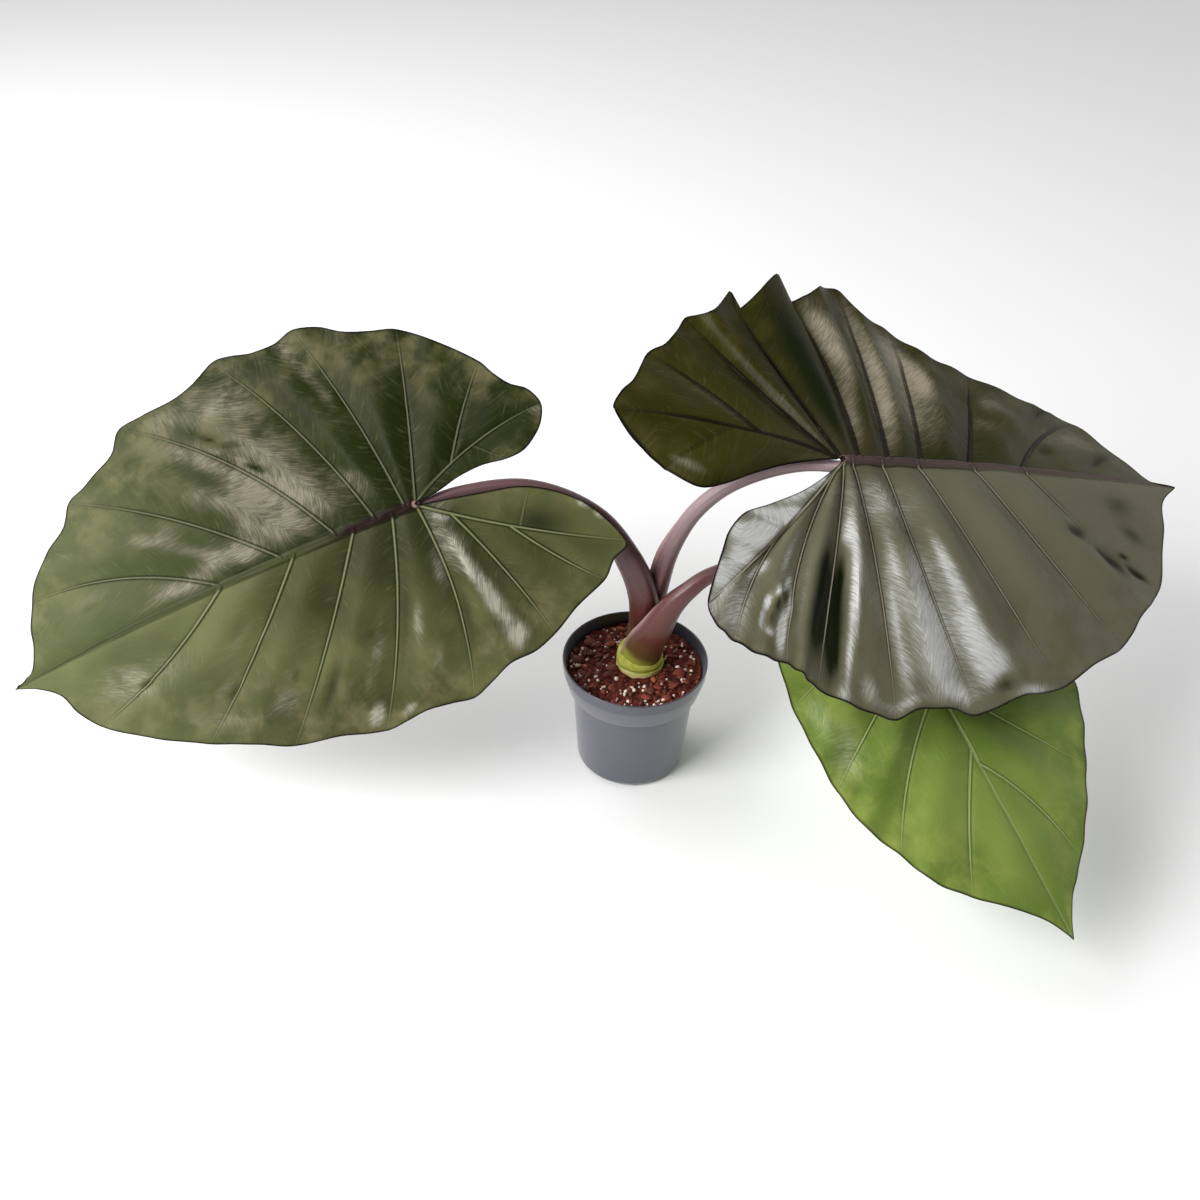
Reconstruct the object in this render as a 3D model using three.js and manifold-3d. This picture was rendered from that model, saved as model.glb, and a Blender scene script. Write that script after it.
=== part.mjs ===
// Potted metalhead alocasia: three long-stalked leaves in a 12 cm nursery pot.
// Millimetres, +Z up. The origin is the middle of the pot's foot, where it stands.
import * as THREE from 'three';
import { mergeVertices } from 'three/addons/utils/BufferGeometryUtils.js';
import Module from 'manifold-3d';

const wasm = await Module();
wasm.setup();

// Clearance kept between pieces that touch.
const seatGap = 0.3;

// Pot
const potHeight = 107;
const rimRadius = 60;
const bandLowerRadius = 55;
const bandLowerHeight = 80;
const bodyUpperRadius = 51;
const bodyLowerRadius = 46;
const footRadius = 42;
const potWall = 1.4;
const floorThickness = 2.2;
const potSegments = 48;
const drainHoleRadius = 3.5;
const drainHoleCircle = 28;
const drainHoleCount = 6;
const footNotchWidth = 8;
const footNotchHeight = 3;
const footNotchAngle = -80;

// Soil
const soilLevel = 97.5;
const soilSegments = 44;
const soilRings = 10;
const soilLump = 1.8;
const soilInset = 0.7;
const grainCount = 46;
const grainRadiusLeast = 1.2;
const grainRadiusMost = 2.0;

// Stem base, the thick ringed stump that the leaf stalks grow from
const stemBase = { x: 4, y: 5 };
const stemBaseRadius = 19.5;
const stemBaseBottom = 62;
const stemBaseTop = 112;

// Blades
const bladeThickness = 0.8;
const veinRib = 1.2;
const midribHalfWidth = 2.6;
const midribKeel = 3.4;
const foldRounding = 8;
const veinEdge = 0.045;
const raySteps = [0, 0.05, 0.22, 0.42, 0.63, 0.83, 1];

// Each leaf is set by the place of its stalk joint and tip, and its turn about the
// line between them. In the leaf's own plane x runs from the joint to the tip.
// The midrib arches by arch and bends sideways by bend, and rear says how much of
// the arch's slope carries on into the lobes behind the joint.
// A half lists its side veins from the tip to the stalk: where each leaves the
// midrib, where it meets the margin, and its bow. Basal veins leave the basal rib
// at a share of its length. A gap is the margin between two veins: how far it
// bulges out, how high the blade swells between the veins, and the margin's wave.
// Its lean slants the bulges along the margin.
const leftLeaf = {
  joint: [-171, -7, 256],
  tip: [-485, -68, 108],
  turn: -51.7,
  arch: 8,
  rear: 1,
  bend: -5,
  ridge: 0.4,
  halves: [
    {
      side: 1,
      fold: 5,
      curl: 0.06,
      veins: [
        { from: 161, to: [301, 54], bow: -7 },
        { from: 99, to: [227, 101], bow: -4 },
        { from: 50, to: [167, 129], bow: -4 },
        { from: 19, to: [97, 147], bow: -7 },
        { from: 0, to: [24, 151], bow: -9 },
      ],
      ribBend: [-61, 50],
      ribTip: [-131, 88],
      outer: [
        { from: 0.17, to: [-53, 131], bow: -3 },
        { from: 0.45, to: [-104, 109], bow: 2 },
      ],
      inner: [{ from: 0.5, to: [-82, 22], bow: 0 }],
      gaps: [
        { bulge: [-8.4, -10.9, -3.4], swell: 2 },
        { bulge: [2], swell: 4 },
        { bulge: [-1], swell: 5 },
        { bulge: [-2], swell: 5 },
        { bulge: [-1.6, -4, -2.3], swell: 5 },
        { bulge: [-1.3, -3.3, 1.2], swell: 5 },
        { bulge: [-1.5], swell: 3 },
        { bulge: [-1], swell: 2 },
        { bulge: [10], swell: 2 },
        { bulge: [1], swell: 2 },
      ],
    },
    {
      side: -1,
      fold: 5,
      curl: 0.06,
      veins: [
        { from: 162, to: [311, -56], bow: -12 },
        { from: 109, to: [252, -114], bow: -8 },
        { from: 64, to: [192, -150], bow: -13 },
        { from: 32, to: [105, -166], bow: -8 },
        { from: 8, to: [38, -162], bow: -5 },
        { from: 0, to: [-37, -128], bow: -2 },
      ],
      ribBend: [-54, -30],
      ribTip: [-115.3, -30.3],
      outer: [{ from: 0.33, to: [-85, -79], bow: 2 }],
      inner: [{ from: 0.5, to: [-75, -3], bow: 0 }],
      gaps: [
        { bulge: [-12, -10, -4], swell: 2 },
        { bulge: [3.3, 1.3, -3.1], swell: 4 },
        { bulge: [-3, -6.3, -6.7], swell: 5 },
        { bulge: [-2.8, -6.6, -6.5], swell: 5 },
        { bulge: [-1.4, -5.5, -5.4], swell: 5 },
        { bulge: [2.6, -1.7, -1], swell: 4 },
        { bulge: [2.2], swell: 3 },
        { bulge: [-1.3, -1, 3.2], swell: 2 },
        { bulge: [7.6, 9.2, 7.7], swell: 2 },
        { bulge: [-3.7, -3.5, -0.4], swell: 2 },
      ],
    },
  ],
};

const rightLeaf = {
  joint: [138, -14, 313],
  tip: [440, 98, 229],
  turn: 19.4,
  arch: 9,
  rear: 1,
  bend: -3,
  ridge: 1.2,
  halves: [
    {
      side: 1,
      fold: 2,
      curl: 0,
      veins: [
        { from: 158, to: [245.2, 55.8], bow: -8 },
        { from: 108, to: [156.4, 96.5], bow: 1 },
        { from: 65, to: [95.9, 139.1], bow: 4 },
        { from: 37, to: [60.4, 182.3], bow: 5, lift: 3 },
        { from: 13, to: [8.2, 158.9], bow: 9, lift: 8 },
        { from: 0, to: [-40.3, 148.8], bow: -2, lift: 6 },
      ],
      ribBend: [-72, 40],
      ribTip: [-161.2, 47.1],
      outer: [
        { from: 0.06, to: [-82.1, 140.6], bow: -2 },
        { from: 0.38, to: [-121, 103.6], bow: 3 },
      ],
      inner: [{ from: 0.5, to: [-122.7, 12.6], bow: 0, lift: -26 }],
      gaps: [
        { bulge: [-14, -11, -4], swell: 2 },
        { bulge: [-3], swell: 5 },
        { bulge: [-7], swell: 6 },
        { bulge: [-3.1, -7.9, -0.5], swell: 6 },
        { bulge: [3.1, 0.2, -1.9], swell: 7, wave: 2 },
        { bulge: [15.9, 21.5, 14.3, 5.4, 0.6], lean: -0.6, swell: 7, wave: 9 },
        { bulge: [17.4, 11.4, 2.5, -4.1, -4.4, -1.2, 0.7], lean: -0.6, swell: 6, wave: 5 },
        { bulge: [-2.4, -4.1, -3.7], swell: 4 },
        { bulge: [-0.3, -1, 2.2], swell: 3 },
        { bulge: [-1.2], swell: 2, wave: -6 },
        { bulge: [15.4, 12.6, 4.5, -0.7, -1], swell: 2, wave: -6 },
      ],
    },
    {
      side: -1,
      fold: 20,
      curl: 0.05,
      veins: [
        { from: 159, to: [285, -87], bow: -7 },
        { from: 109, to: [234, -130], bow: -3 },
        { from: 59, to: [165, -159], bow: -1 },
        { from: 30, to: [87, -174], bow: -3 },
        { from: 6, to: [19, -173], bow: 3 },
        { from: 0, to: [-40, -150], bow: 1 },
      ],
      ribBend: [-50, -50],
      ribTip: [-116, -93.8],
      outer: [
        { from: 0.08, to: [-62, -134], bow: -10 },
        { from: 0.35, to: [-98.6, -117.9], bow: -9 },
      ],
      inner: [{ from: 0.5, to: [-83, -37.3], bow: 0 }],
      gaps: [
        { bulge: [-12.4, -7.7, -2.2], swell: 2 },
        { bulge: [-1.8], swell: 7 },
        { bulge: [-1], swell: 8 },
        { bulge: [-2], swell: 8 },
        { bulge: [-2.5, -3.9, -4.7], swell: 8 },
        { bulge: [3.8], swell: 7 },
        { bulge: [0], swell: 5 },
        { bulge: [2.5], swell: 4 },
        { bulge: [4.5], swell: 3 },
        { bulge: [3.1, 4.4, 5.7], swell: 2 },
        { bulge: [-2.8, -5.3, -4], swell: 2 },
      ],
    },
  ],
};

const lowLeaf = {
  joint: [189, -23, 197],
  tip: [311, -229, 60],
  turn: 5.7,
  arch: 12,
  rear: 0.1,
  bend: -6,
  ridge: 0.4,
  halves: [
    {
      side: 1,
      fold: 8,
      curl: 0.05,
      veins: [
        { from: 141, to: [229, 37], bow: -6 },
        { from: 75, to: [173, 82], bow: 1 },
        { from: 38, to: [112, 116], bow: 0 },
        { from: 8, to: [42, 124], bow: 0 },
        { from: 0, to: [-28, 108], bow: 0 },
      ],
      ribBend: [-45, 40],
      ribTip: [-92, 62],
      outer: [{ from: 0.35, to: [-72, 86], bow: 0 }],
      inner: [{ from: 0.5, to: [-52, 14], bow: 0 }],
      gaps: [
        { bulge: [-4, -5, -3], swell: 2 },
        { bulge: [1], swell: 4 },
        { bulge: [1], swell: 5 },
        { bulge: [0], swell: 5 },
        { bulge: [0], swell: 5 },
        { bulge: [0], swell: 4 },
        { bulge: [2], swell: 3 },
        { bulge: [8], swell: 2 },
        { bulge: [1], swell: 2 },
      ],
    },
    {
      side: -1,
      fold: 8,
      curl: 0.05,
      veins: [
        { from: 129, to: [221, -55], bow: -3 },
        { from: 76, to: [175, -89], bow: -7 },
        { from: 42, to: [116, -109], bow: -1 },
        { from: 8, to: [48, -108], bow: 0 },
        { from: 0, to: [-24, -94], bow: 0 },
      ],
      ribBend: [-42, -36],
      ribTip: [-84, -56],
      outer: [{ from: 0.35, to: [-66, -76], bow: 0 }],
      inner: [{ from: 0.5, to: [-50, -12], bow: 0 }],
      gaps: [
        { bulge: [-4, -4, -2], swell: 2 },
        { bulge: [4.9], swell: 4 },
        { bulge: [4.8], swell: 5 },
        { bulge: [2], swell: 5 },
        { bulge: [0], swell: 5 },
        { bulge: [0], swell: 4 },
        { bulge: [2], swell: 3 },
        { bulge: [8], swell: 2 },
        { bulge: [1], swell: 2 },
      ],
    },
  ],
};

// Leaf stalks: the line of the middle, and the half width and half depth along it.
const stalkSides = 12;
const leftStalk = {
  line: [
    [4, 9, 112.3],
    [5, 6, 140],
    [2.5, -1, 175],
    [-9.5, -2, 208],
    [-36.5, 6, 243],
    [-86, 13, 262],
    [-138, 6, 260],
    [-171, -2, 250.5],
  ],
  halfWidth: [12.5, 12, 11.8, 10.6, 7.5, 5.6, 4.8, 4.4],
  halfDepth: [10.5, 10.5, 10.5, 9.5, 7, 5.4, 4.6, 4.2],
  steps: 26,
};
const rightStalk = {
  line: [
    [11, 14, 112.3],
    [12.5, 11, 142],
    [15.5, 6, 178],
    [22.5, 8, 212],
    [37.5, 9, 246],
    [59, 9, 270],
    [86, 6, 287],
    [113, -4, 301],
    [138, -13, 306.5],
  ],
  halfWidth: [8.5, 8.2, 7.6, 7, 6.4, 5.8, 5, 4.6, 4.4],
  halfDepth: [8, 8, 7.8, 7.2, 6.4, 5.8, 5.2, 4.6, 4.2],
  steps: 26,
};
const lowStalk = {
  line: [
    [5, 0, 112.3],
    [8, -5, 129],
    [14, -11, 147],
    [24, -13, 171],
    [36, -12.5, 187],
    [55, -6, 200],
    [90, 2, 206],
    [125, -3, 203],
    [158, -11, 195],
    [187.5, -20, 191],
  ],
  halfWidth: [16.5, 15.5, 13.5, 10, 7.6, 6.1, 5.4, 5, 4.6, 4.2],
  halfDepth: [14, 12.5, 11, 8.6, 7, 5.8, 5.2, 4.8, 4.4, 4],
  steps: 30,
};

const palette = {
  pot: { color: '#70727e', roughness: 0.55 },
  soil: { color: '#43241a', roughness: 0.95 },
  stemBase: { color: '#a9b64a', roughness: 0.5 },
  stalk: { color: '#7a5653', roughness: 0.45 },
  darkBlade: { color: '#454b2c', roughness: 0.35 },
  metalBlade: { color: '#4a4939', roughness: 0.3 },
  greenBlade: { color: '#5c8132', roughness: 0.4 },
};

function material(name) {
  return new THREE.MeshStandardMaterial({ ...palette[name], metalness: 0, side: THREE.DoubleSide });
}

// A repeatable run of numbers between 0 and 1.
function seededNumbers(seed) {
  let state = seed;
  return () => {
    state = (state * 1664525 + 1013904223) % 4294967296;
    return state / 4294967296;
  };
}

function clamp01(value) {
  return Math.min(1, Math.max(0, value));
}

function between(a, b, share) {
  return a + (b - a) * share;
}

function solidFrom(geometry) {
  const bare = geometry.clone();
  bare.deleteAttribute('normal');
  bare.deleteAttribute('uv');
  const merged = mergeVertices(bare, 1e-4);
  return new wasm.Manifold(
    new wasm.Mesh({
      numProp: 3,
      vertProperties: new Float32Array(merged.attributes.position.array),
      triVerts: new Uint32Array(merged.index.array),
    })
  );
}

function geometryFrom(solid) {
  const mesh = solid.getMesh();
  const geometry = new THREE.BufferGeometry();
  geometry.setAttribute('position', new THREE.BufferAttribute(mesh.vertProperties, 3));
  geometry.setIndex(new THREE.BufferAttribute(mesh.triVerts, 1));
  geometry.computeVertexNormals();
  return geometry;
}

function pieceGeometry(points, triangles) {
  const geometry = new THREE.BufferGeometry();
  const positions = new Float32Array(points.length * 3);
  points.forEach((point, i) => positions.set([point.x, point.y, point.z], i * 3));
  geometry.setAttribute('position', new THREE.BufferAttribute(positions, 3));
  geometry.setIndex(triangles.flat());
  geometry.computeVertexNormals();
  return geometry;
}

// Leaf plane: x to the tip, y to one side, z out of the upper face.
function leafPlane(leaf) {
  const joint = new THREE.Vector3(...leaf.joint);
  const along = new THREE.Vector3(...leaf.tip).sub(joint);
  const length = along.length();
  along.normalize();
  const level = new THREE.Vector3(0, 0, 1).addScaledVector(along, -along.z).normalize();
  const across = new THREE.Vector3().crossVectors(level, along);
  const turn = THREE.MathUtils.degToRad(leaf.turn);
  const side = across.multiplyScalar(Math.cos(turn)).addScaledVector(level, Math.sin(turn));
  const up = new THREE.Vector3().crossVectors(along, side);
  const place = (x, y, z) =>
    joint.clone().addScaledVector(along, x).addScaledVector(side, y).addScaledVector(up, z);
  return { length, place };
}

// The curve of one half: veins, margin and height as functions of a ray number and
// a share of the way from the rib to the margin. Whole ray numbers are veins.
function halfSurface(leaf, half, length) {
  const midribY = (x) => leaf.bend * 4 * clamp01(x / length) * (1 - clamp01(x / length));
  const midribWidth = (x) => midribHalfWidth * (1 - clamp01(x / length));
  const jointCount = half.veins.length;
  const lobe = jointCount + half.outer.length + 1;
  const last = lobe + half.inner.length + 1;
  const jointY = half.side * midribWidth(0);
  const ends = [
    { to: [length, 0] },
    ...half.veins,
    ...half.outer,
    { to: half.ribTip },
    ...half.inner,
    { to: [0, jointY] },
  ];
  const midribStarts = [length, ...half.veins.map((vein) => vein.from)];
  const ribStarts = [0, ...half.outer.map((v) => v.from), 1, ...half.inner.map((v) => v.from), 0];

  const knots = [];
  ends.forEach((end, i) => {
    knots.push({ at: i, x: end.to[0], y: end.to[1] });
    if (i === last) return;
    const next = ends[i + 1].to;
    const dx = next[0] - end.to[0];
    const dy = next[1] - end.to[1];
    const chord = Math.hypot(dx, dy) + 1e-9;
    const bulges = half.gaps[i].bulge;
    const lean = half.gaps[i].lean || 0;
    bulges.forEach((bulge, j) => {
      const share = (j + 1) / (bulges.length + 1);
      const out = (bulge * half.side) / chord;
      const slide = (bulge * lean) / chord;
      knots.push({
        at: i + share,
        x: end.to[0] + dx * (share + slide) + dy * out,
        y: end.to[1] + dy * (share + slide) - dx * out,
      });
    });
  });
  const slopes = knots.map((knot, i) => {
    const a = knots[Math.max(0, i - 1)];
    const b = knots[Math.min(knots.length - 1, i + 1)];
    return { x: (b.x - a.x) / (b.at - a.at), y: (b.y - a.y) / (b.at - a.at) };
  });

  function margin(ray) {
    let i = 0;
    while (i < knots.length - 2 && knots[i + 1].at <= ray) i += 1;
    const span = knots[i + 1].at - knots[i].at;
    const t = (ray - knots[i].at) / span;
    const h00 = 2 * t ** 3 - 3 * t ** 2 + 1;
    const h10 = (t ** 3 - 2 * t ** 2 + t) * span;
    const h01 = -2 * t ** 3 + 3 * t ** 2;
    const h11 = (t ** 3 - t ** 2) * span;
    return {
      x: h00 * knots[i].x + h10 * slopes[i].x + h01 * knots[i + 1].x + h11 * slopes[i + 1].x,
      y: h00 * knots[i].y + h10 * slopes[i].y + h01 * knots[i + 1].y + h11 * slopes[i + 1].y,
    };
  }

  function ribPoint(t) {
    const a = (1 - t) ** 2;
    const b = 2 * (1 - t) * t;
    const c = t * t;
    return { x: b * half.ribBend[0] + c * half.ribTip[0], y: a * jointY + b * half.ribBend[1] + c * half.ribTip[1] };
  }

  function ribShare(ray) {
    const i = Math.min(Math.floor(ray), last - 1);
    return between(ribStarts[i - jointCount], ribStarts[i - jointCount + 1], ray - i);
  }

  function start(ray) {
    if (ray > jointCount) return ribPoint(ribShare(ray));
    const i = Math.min(Math.floor(ray), jointCount - 1);
    const x = between(midribStarts[i], midribStarts[i + 1], ray - i);
    return { x, y: midribY(x) + half.side * midribWidth(x) };
  }

  function height(x, y) {
    const u = x / length;
    const rise = u > 0 ? leaf.arch * 4 * u * (1 - u) : leaf.arch * 4 * u * leaf.rear;
    const off = y - midribY(x);
    const slope = Math.tan(THREE.MathUtils.degToRad(half.fold));
    return rise - slope * (Math.hypot(off, foldRounding) - foldRounding) - (half.curl * off * off) / 150;
  }

  function alongRays(key, ray) {
    const i = Math.min(Math.floor(ray), last - 1);
    return between(ends[i][key] || 0, ends[i + 1][key] || 0, ray - i);
  }

  function point(ray, v) {
    const a = start(ray);
    const b = margin(ray);
    const dx = b.x - a.x;
    const dy = b.y - a.y;
    const reach = Math.hypot(dx, dy) + 1e-9;
    const bow = (2 * alongRays('bow', ray) * half.side) / reach;
    const cx = (a.x + b.x) / 2 + dy * bow;
    const cy = (a.y + b.y) / 2 - dx * bow;
    const x = (1 - v) ** 2 * a.x + 2 * (1 - v) * v * cx + v * v * b.x;
    const y = (1 - v) ** 2 * a.y + 2 * (1 - v) * v * cy + v * v * b.y;
    const gap = half.gaps[Math.min(Math.floor(ray), last - 1)];
    const hump = Math.sin(Math.PI * (ray - Math.floor(ray))) ** 2;
    const swell = gap.swell * Math.sin(Math.PI * Math.min(v, 0.92) ** 0.8 * 0.9) * clamp01(reach / 60);
    const wave = (gap.wave || 0) * v ** 4;
    return { x, y, z: height(x, y) + hump * (swell + wave) + alongRays('lift', ray) * v * v };
  }

  // Ray numbers from the tip to the lobe, then back along the rib to the joint.
  const rays = [];
  for (let i = 0; i < lobe; i += 1) {
    let shares = [0, veinEdge, 0.36, 0.64, 1 - veinEdge];
    if (i === 0) shares = [0, 0.22, 0.46, 0.7, 1 - veinEdge];
    if (half.gaps[i].lean) shares = [0, veinEdge, 0.14, 0.25, 0.36, 0.5, 0.64, 0.82, 1 - veinEdge];
    shares.forEach((share) => rays.push(i + share));
  }
  rays.push(lobe);
  const back = rays.filter((ray) => ray > jointCount && ray < lobe).reverse();
  const backRays = back.map((ray) => {
    const t = ribShare(ray);
    let i = lobe;
    while (ribStarts[i - jointCount + 1] > t) i += 1;
    const from = ribStarts[i - jointCount];
    const to = ribStarts[i - jointCount + 1];
    return i + (t - from) / (to - from);
  });
  return { point, start, height, midribY, rays, back, backRays, jointCount, lobe, last };
}

// One blade as a closed body: the upper face, the same triangles below it, and the
// edge between. above and below thicken it, to cut a seat in the stalk.
function bladeGeometry(leaf, above = 0, below = 0) {
  const { length, place } = leafPlane(leaf);
  const flat = [];
  const thick = [];
  const triangles = [];
  function vertex(x, y, z, depth) {
    flat.push(place(x, y, z));
    thick.push(depth);
    return flat.length - 1;
  }
  function triangle(a, b, c, flip) {
    if (a === b || b === c || a === c) return;
    triangles.push(flip ? [a, c, b] : [a, b, c]);
  }
  const tipVertex = vertex(length, 0, 0, bladeThickness);
  const edges = [];
  leaf.halves.forEach((half) => {
    const surface = halfSurface(leaf, half, length);
    const flip = half.side < 0;
    const columns = [];
    const isVein = (ray) => Math.abs(ray - Math.round(ray)) < 1e-6 && ray > 0.5;
    function column(ray, first) {
      const list = [first];
      raySteps.slice(1).forEach((v) => {
        const p = surface.point(ray, v);
        const rib = isVein(ray) ? veinRib * (1 - v) : 0;
        list.push(vertex(p.x, p.y, p.z, bladeThickness + rib));
      });
      return list;
    }
    function startVertex(ray) {
      const p = surface.start(ray);
      const root = ray > surface.jointCount ? surface.point(ray, 0).z : surface.height(p.x, p.y);
      const u = clamp01(Math.abs(p.x) / (p.x > 0 ? length : 150));
      return vertex(p.x, p.y, root, bladeThickness + 2 * (1 - u));
    }
    const jointIndex = surface.rays.indexOf(surface.jointCount);
    const starts = surface.rays.map((ray, i) => {
      if (i === 0) return tipVertex;
      return startVertex(ray);
    });
    surface.rays.forEach((ray, i) => {
      const whole = ray === 0 || ray === surface.lobe;
      columns.push(whole ? raySteps.map(() => starts[i]) : column(ray, starts[i]));
    });
    surface.backRays.forEach((ray, i) => {
      columns.push(column(ray, starts[surface.rays.indexOf(surface.back[i])]));
    });
    columns.push(raySteps.map(() => starts[jointIndex]));
    for (let i = 0; i < columns.length - 1; i += 1) {
      const inward = i >= surface.rays.length - 1;
      for (let j = 0; j < raySteps.length - 1; j += 1) {
        const a = columns[i][j];
        const b = columns[i][j + 1];
        const c = columns[i + 1][j];
        const d = columns[i + 1][j + 1];
        if (inward) {
          triangle(a, b, d, flip);
          triangle(a, d, c, flip);
        } else {
          triangle(a, b, c, flip);
          triangle(b, d, c, flip);
        }
      }
    }
    edges.push(starts.slice(0, jointIndex + 1).map((index, i) => ({ index, x: surface.start(surface.rays[i]).x })));
  });

  // Midrib strip: a crowned line between the two halves.
  const surface = halfSurface(leaf, leaf.halves[0], length);
  const crown = edges[0].map(({ x }, i) => {
    if (i === 0) return { index: tipVertex, x };
    const y = surface.midribY(x);
    const share = 1 - clamp01(x / length);
    return { index: vertex(x, y, surface.height(x, y) + leaf.ridge * share, bladeThickness + midribKeel * share), x };
  });
  for (let i = 0; i < crown.length - 1; i += 1) {
    triangle(crown[i].index, edges[0][i].index, crown[i + 1].index, false);
    triangle(edges[0][i].index, edges[0][i + 1].index, crown[i + 1].index, false);
  }
  let i = 0;
  let j = 0;
  while (i < crown.length - 1 || j < edges[1].length - 1) {
    const stepCrown = j === edges[1].length - 1 || (i < crown.length - 1 && crown[i + 1].x > edges[1][j + 1].x);
    if (stepCrown) {
      triangle(edges[1][j].index, crown[i].index, crown[i + 1].index, false);
      i += 1;
    } else {
      triangle(edges[1][j].index, crown[i].index, edges[1][j + 1].index, false);
      j += 1;
    }
  }

  const normals = flat.map(() => new THREE.Vector3());
  triangles.forEach(([a, b, c]) => {
    const ab = flat[b].clone().sub(flat[a]);
    const normal = ab.cross(flat[c].clone().sub(flat[a]));
    [a, b, c].forEach((index) => normals[index].add(normal));
  });
  normals.forEach((normal) => normal.normalize());
  const upper = flat.map((point, k) => point.clone().addScaledVector(normals[k], above));
  const lower = flat.map((point, k) => point.clone().addScaledVector(normals[k], -thick[k] - below));
  const count = flat.length;
  const faces = [];
  const open = new Map();
  triangles.forEach(([a, b, c]) => {
    faces.push([a, b, c]);
    faces.push([a + count, c + count, b + count]);
    [[a, b], [b, c], [c, a]].forEach(([from, to]) => {
      if (open.has(`${to},${from}`)) open.delete(`${to},${from}`);
      else open.set(`${from},${to}`, [from, to]);
    });
  });
  open.forEach(([from, to]) => {
    faces.push([from, from + count, to]);
    faces.push([to, from + count, to + count]);
  });
  return pieceGeometry([...upper, ...lower], faces);
}

function alongList(list, share) {
  const place = clamp01(share) * (list.length - 1);
  const i = Math.min(Math.floor(place), list.length - 2);
  return between(list[i], list[i + 1], place - i);
}

// A stalk as a closed loft of ovals along a smooth line. grow widens it all round.
function stalkGeometry(stalk, grow = 0) {
  const curve = new THREE.CatmullRomCurve3(stalk.line.map((p) => new THREE.Vector3(...p)), false, 'centripetal');
  const front = new THREE.Vector3(0, -1, 0);
  const points = [];
  const faces = [];
  for (let i = 0; i <= stalk.steps; i += 1) {
    const share = i / stalk.steps;
    const middle = curve.getPoint(share);
    const along = i === 0 ? new THREE.Vector3(0, 0, 1) : curve.getTangent(share);
    const across = new THREE.Vector3().crossVectors(front, along).normalize();
    const depth = new THREE.Vector3().crossVectors(along, across);
    const halfWidth = alongList(stalk.halfWidth, share) + grow;
    const halfDepth = alongList(stalk.halfDepth, share) + grow;
    if (i === 0) middle.z -= grow;
    for (let k = 0; k < stalkSides; k += 1) {
      const angle = (2 * Math.PI * k) / stalkSides;
      points.push(
        middle
          .clone()
          .addScaledVector(across, halfWidth * Math.cos(angle))
          .addScaledVector(depth, halfDepth * Math.sin(angle))
      );
    }
  }
  const ring = (i, k) => i * stalkSides + (k % stalkSides);
  for (let i = 0; i < stalk.steps; i += 1) {
    for (let k = 0; k < stalkSides; k += 1) {
      faces.push([ring(i, k), ring(i, k + 1), ring(i + 1, k)]);
      faces.push([ring(i, k + 1), ring(i + 1, k + 1), ring(i + 1, k)]);
    }
  }
  for (let k = 1; k < stalkSides - 1; k += 1) {
    faces.push([ring(0, 0), ring(0, k + 1), ring(0, k)]);
    faces.push([ring(stalk.steps, 0), ring(stalk.steps, k), ring(stalk.steps, k + 1)]);
  }
  return pieceGeometry(points, faces);
}

// A body turned about an upright axis, from radius and height pairs.
function turned(profile, segments) {
  const geometry = new THREE.LatheGeometry(
    profile.map(([r, z]) => new THREE.Vector2(r, z)),
    segments
  );
  geometry.rotateX(Math.PI / 2);
  return geometry;
}

function flipped(geometry) {
  const index = geometry.index.array;
  for (let i = 0; i < index.length; i += 3) {
    const keep = index[i + 1];
    index[i + 1] = index[i + 2];
    index[i + 2] = keep;
  }
  return geometry;
}

function closedSolid(geometry) {
  const solid = solidFrom(geometry);
  return solid.volume() < 0 ? solidFrom(flipped(geometry)) : solid;
}

// Inner radius of the pot at a height.
function innerRadius(z) {
  if (z > bandLowerHeight) {
    return between(bandLowerRadius, rimRadius, (z - bandLowerHeight) / (potHeight - bandLowerHeight)) - potWall;
  }
  return between(bodyLowerRadius, bodyUpperRadius, (z - 8) / (bandLowerHeight - 8)) - potWall;
}

function potSolid() {
  const outside = [
    [0, 0],
    [footRadius, 0],
    [44.5, 1.2],
    [45.8, 4],
    [bodyLowerRadius, 8],
    [bodyUpperRadius, bandLowerHeight - 1],
    [bandLowerRadius, bandLowerHeight],
    [rimRadius - 0.5, potHeight - 10],
    [rimRadius, potHeight - 2],
    [rimRadius, potHeight - 0.5],
    [rimRadius - 0.6, potHeight],
  ];
  const inside = [
    [rimRadius - potWall, potHeight - 0.4],
    [innerRadius(bandLowerHeight + 1.5), bandLowerHeight + 1.5],
    [bodyUpperRadius - potWall, bandLowerHeight],
    [bodyLowerRadius - potWall, 8],
    [42.6, 3.6],
    [40, floorThickness],
    [0, floorThickness],
  ];
  let solid = closedSolid(turned([...outside, ...inside], potSegments));
  for (let k = 0; k < drainHoleCount; k += 1) {
    const angle = THREE.MathUtils.degToRad(footNotchAngle + 30 + (360 * k) / drainHoleCount);
    const hole = new THREE.CylinderGeometry(drainHoleRadius, drainHoleRadius, 10, 12);
    hole.rotateX(Math.PI / 2);
    hole.translate(drainHoleCircle * Math.cos(angle), drainHoleCircle * Math.sin(angle), 0);
    solid = solid.subtract(closedSolid(hole));
    const notchAngle = THREE.MathUtils.degToRad(footNotchAngle + (360 * k) / drainHoleCount);
    const notch = new THREE.BoxGeometry(9, footNotchWidth, 2 * footNotchHeight);
    notch.translate(48, 0, 0);
    notch.rotateZ(notchAngle);
    solid = solid.subtract(closedSolid(notch));
  }
  return solid;
}

// Uneven soil surface height.
function soilHeight(x, y) {
  const wide = Math.sin(x * 0.11 + 1.3) * Math.cos(y * 0.13 - 0.6);
  const fine = Math.sin(x * 0.41 + y * 0.23) * Math.cos(y * 0.37 - x * 0.19 + 2);
  return soilLevel + soilLump * (0.6 * wide + 0.6 * fine);
}

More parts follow.
